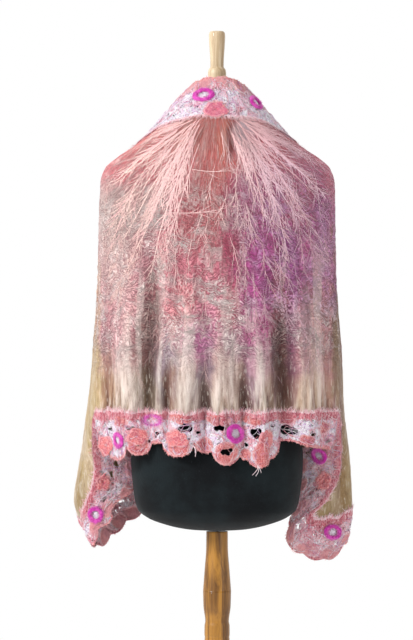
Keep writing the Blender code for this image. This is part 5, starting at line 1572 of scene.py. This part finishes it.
levels = formValues["torso"]
heights = between(column(levels, "z"), 6)
turn = np.linspace(0, 2 * math.pi, 144, endpoint=False)
half, front, back = (read(levels, "z", key, heights)[:, None] for key in ("half", "front", "back"))
squared = lambda wave: np.sign(wave) * np.abs(wave) ** 0.88
across, fore = squared(np.cos(turn)), squared(np.sin(turn))
seamDip = 1 - 0.004 * np.exp(-((np.sin(turn) / 0.03) ** 2)) - 0.003 * np.exp(-((np.cos(turn) / 0.03) ** 2))
depth = fore * np.where(np.sin(turn) > 0, front, back)
torsoPoints = stack(across * half * seamDip, depth * seamDip, heights[:, None])
torso = makeMesh("dressForm", torsoPoints, gridFaces(len(heights), 144, closed=True), jerseyFinish())
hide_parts("form_torso")
paleWood = woodFinish("paleTurnedWood", *formValues["paleWood"])
goldenWood = woodFinish("goldenTurnedWood", *formValues["goldenWood"])
baseWood = woodFinish("goldenBaseWood", *formValues["goldenWood"], True)
lathe("neckKnob", formValues["knob"], "form_neck_knob", paleWood)
lathe("turnedPole", formValues["pole"], "form_pole", goldenWood)
lathe("turnedBase", formValues["base"], "form_base", baseWood)
print("form and stand done")


# The size each sheet of cloth was cut to.
clothValues = {
    "silk": (0.52, 1.28),
    "laces": {
        "collar": (0.068, 0.34), "hem_back": (0.07, 0.58), "left_side": (0.07, 0.23),
        "right_side": (0.07, 0.23), "left_end": (0.07, 0.33), "right_end": (0.07, 0.40),
        "left_front": (0.07, 0.84), "right_front": (0.07, 0.84),
    },
}


def areaOf(grid):
    # the area of a grid, printed beside the size its sheet was cut to
    one = np.cross(grid[1:, :-1] - grid[:-1, :-1], grid[:-1, 1:] - grid[:-1, :-1])
    return float(np.linalg.norm(one, axis=-1).sum())


print("silk area", areaOf(silkPoints))
for name, size in clothValues["laces"].items():
    web, extras, grid = lacePieces[name][:3]
    print("area", name, round(areaOf(grid), 4), "of", round(size[0] * size[1], 4))
    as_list(extras)


# The studio: a pale floor, a pale world and large soft lights.
studioValues = {
    # the camera: how far, how high, how far aside, and the height of its picture at the form
    "distance": 6.0, "height": 1.1, "aside": -0.019, "picture": 1.152,
    # the world's brightness behind the form and on the photographer's side
    "behind": 1.0, "before": 0.56,
    # each light: place, edge, watts
    "key": ((-2.6, -2.0, 2.6), 0.9, 100.0), "fill": ((2.4, -2.2, 1.2), 1.8, 13.0),
    "aim": (0.0, 0.0, 1.1),
    "floor": (244, 244, 244), "floorHalf": 3.0, "floorLevel": -0.0005,
}


floorFinish = Finish("paleFloor")
floorFinish.close(linear(*studioValues["floor"]), 0.9 + floorFinish.noise(floorFinish.place(), 3, 2) * 0.05)
floorData = bpy.data.meshes.new("floor")
reach, level = studioValues["floorHalf"], studioValues["floorLevel"]
corners = [(-reach, -reach, level), (reach, -reach, level), (reach, reach, level), (-reach, reach, level)]
floorData.from_pydata(corners, [], [(0, 1, 2, 3)])
floor = bpy.data.objects.new("floor", floorData)
floorData.materials.append(floorFinish.material)
bpy.context.scene.collection.objects.link(floor)

# white behind the form, dimmer on the photographer's side
worldFinish = Finish("studioWorld", bpy.data.worlds)
towards = worldFinish.split(worldFinish.node("ShaderNodeTexCoord", {}, {}, "Generated"))[1]
glow = worldFinish.step(towards, -0.5, 0.6, studioValues["before"], studioValues["behind"])
grey = worldFinish.mix((0.0, 0.0, 0.0), (1.0, 1.0, 1.0), glow)
sky = worldFinish.node("ShaderNodeBackground", {}, {"Color": grey})
worldOutput = worldFinish.tree.nodes.new("ShaderNodeOutputWorld")
worldFinish.tree.links.new(sky.socket, worldOutput.inputs["Surface"])
bpy.context.scene.world = worldFinish.material


def softLight(name, place, edge, energy):
    data = bpy.data.lights.new(name, "AREA")
    data.shape, data.size, data.energy = "SQUARE", edge, energy
    thing = bpy.data.objects.new(name, data)
    thing.location = place
    heading = Vector(studioValues["aim"]) - Vector(place)
    thing.rotation_euler = heading.to_track_quat("-Z", "Y").to_euler()
    bpy.context.scene.collection.objects.link(thing)


softLight("keyLight", *studioValues["key"])
softLight("fillLight", *studioValues["fill"])

camera = bpy.data.cameras.new("camera")
camera.sensor_fit = "VERTICAL"
camera.sensor_height = 36.0
camera.lens = camera.sensor_height * studioValues["distance"] / studioValues["picture"]
camera.clip_end = 30
viewer = bpy.data.objects.new("camera", camera)
viewer.location = (studioValues["aside"], -studioValues["distance"], studioValues["height"])
viewer.rotation_euler = (math.pi / 2, 0, 0)
bpy.context.scene.collection.objects.link(viewer)
bpy.context.scene.camera = viewer
bpy.context.scene.view_settings.view_transform = "Standard"
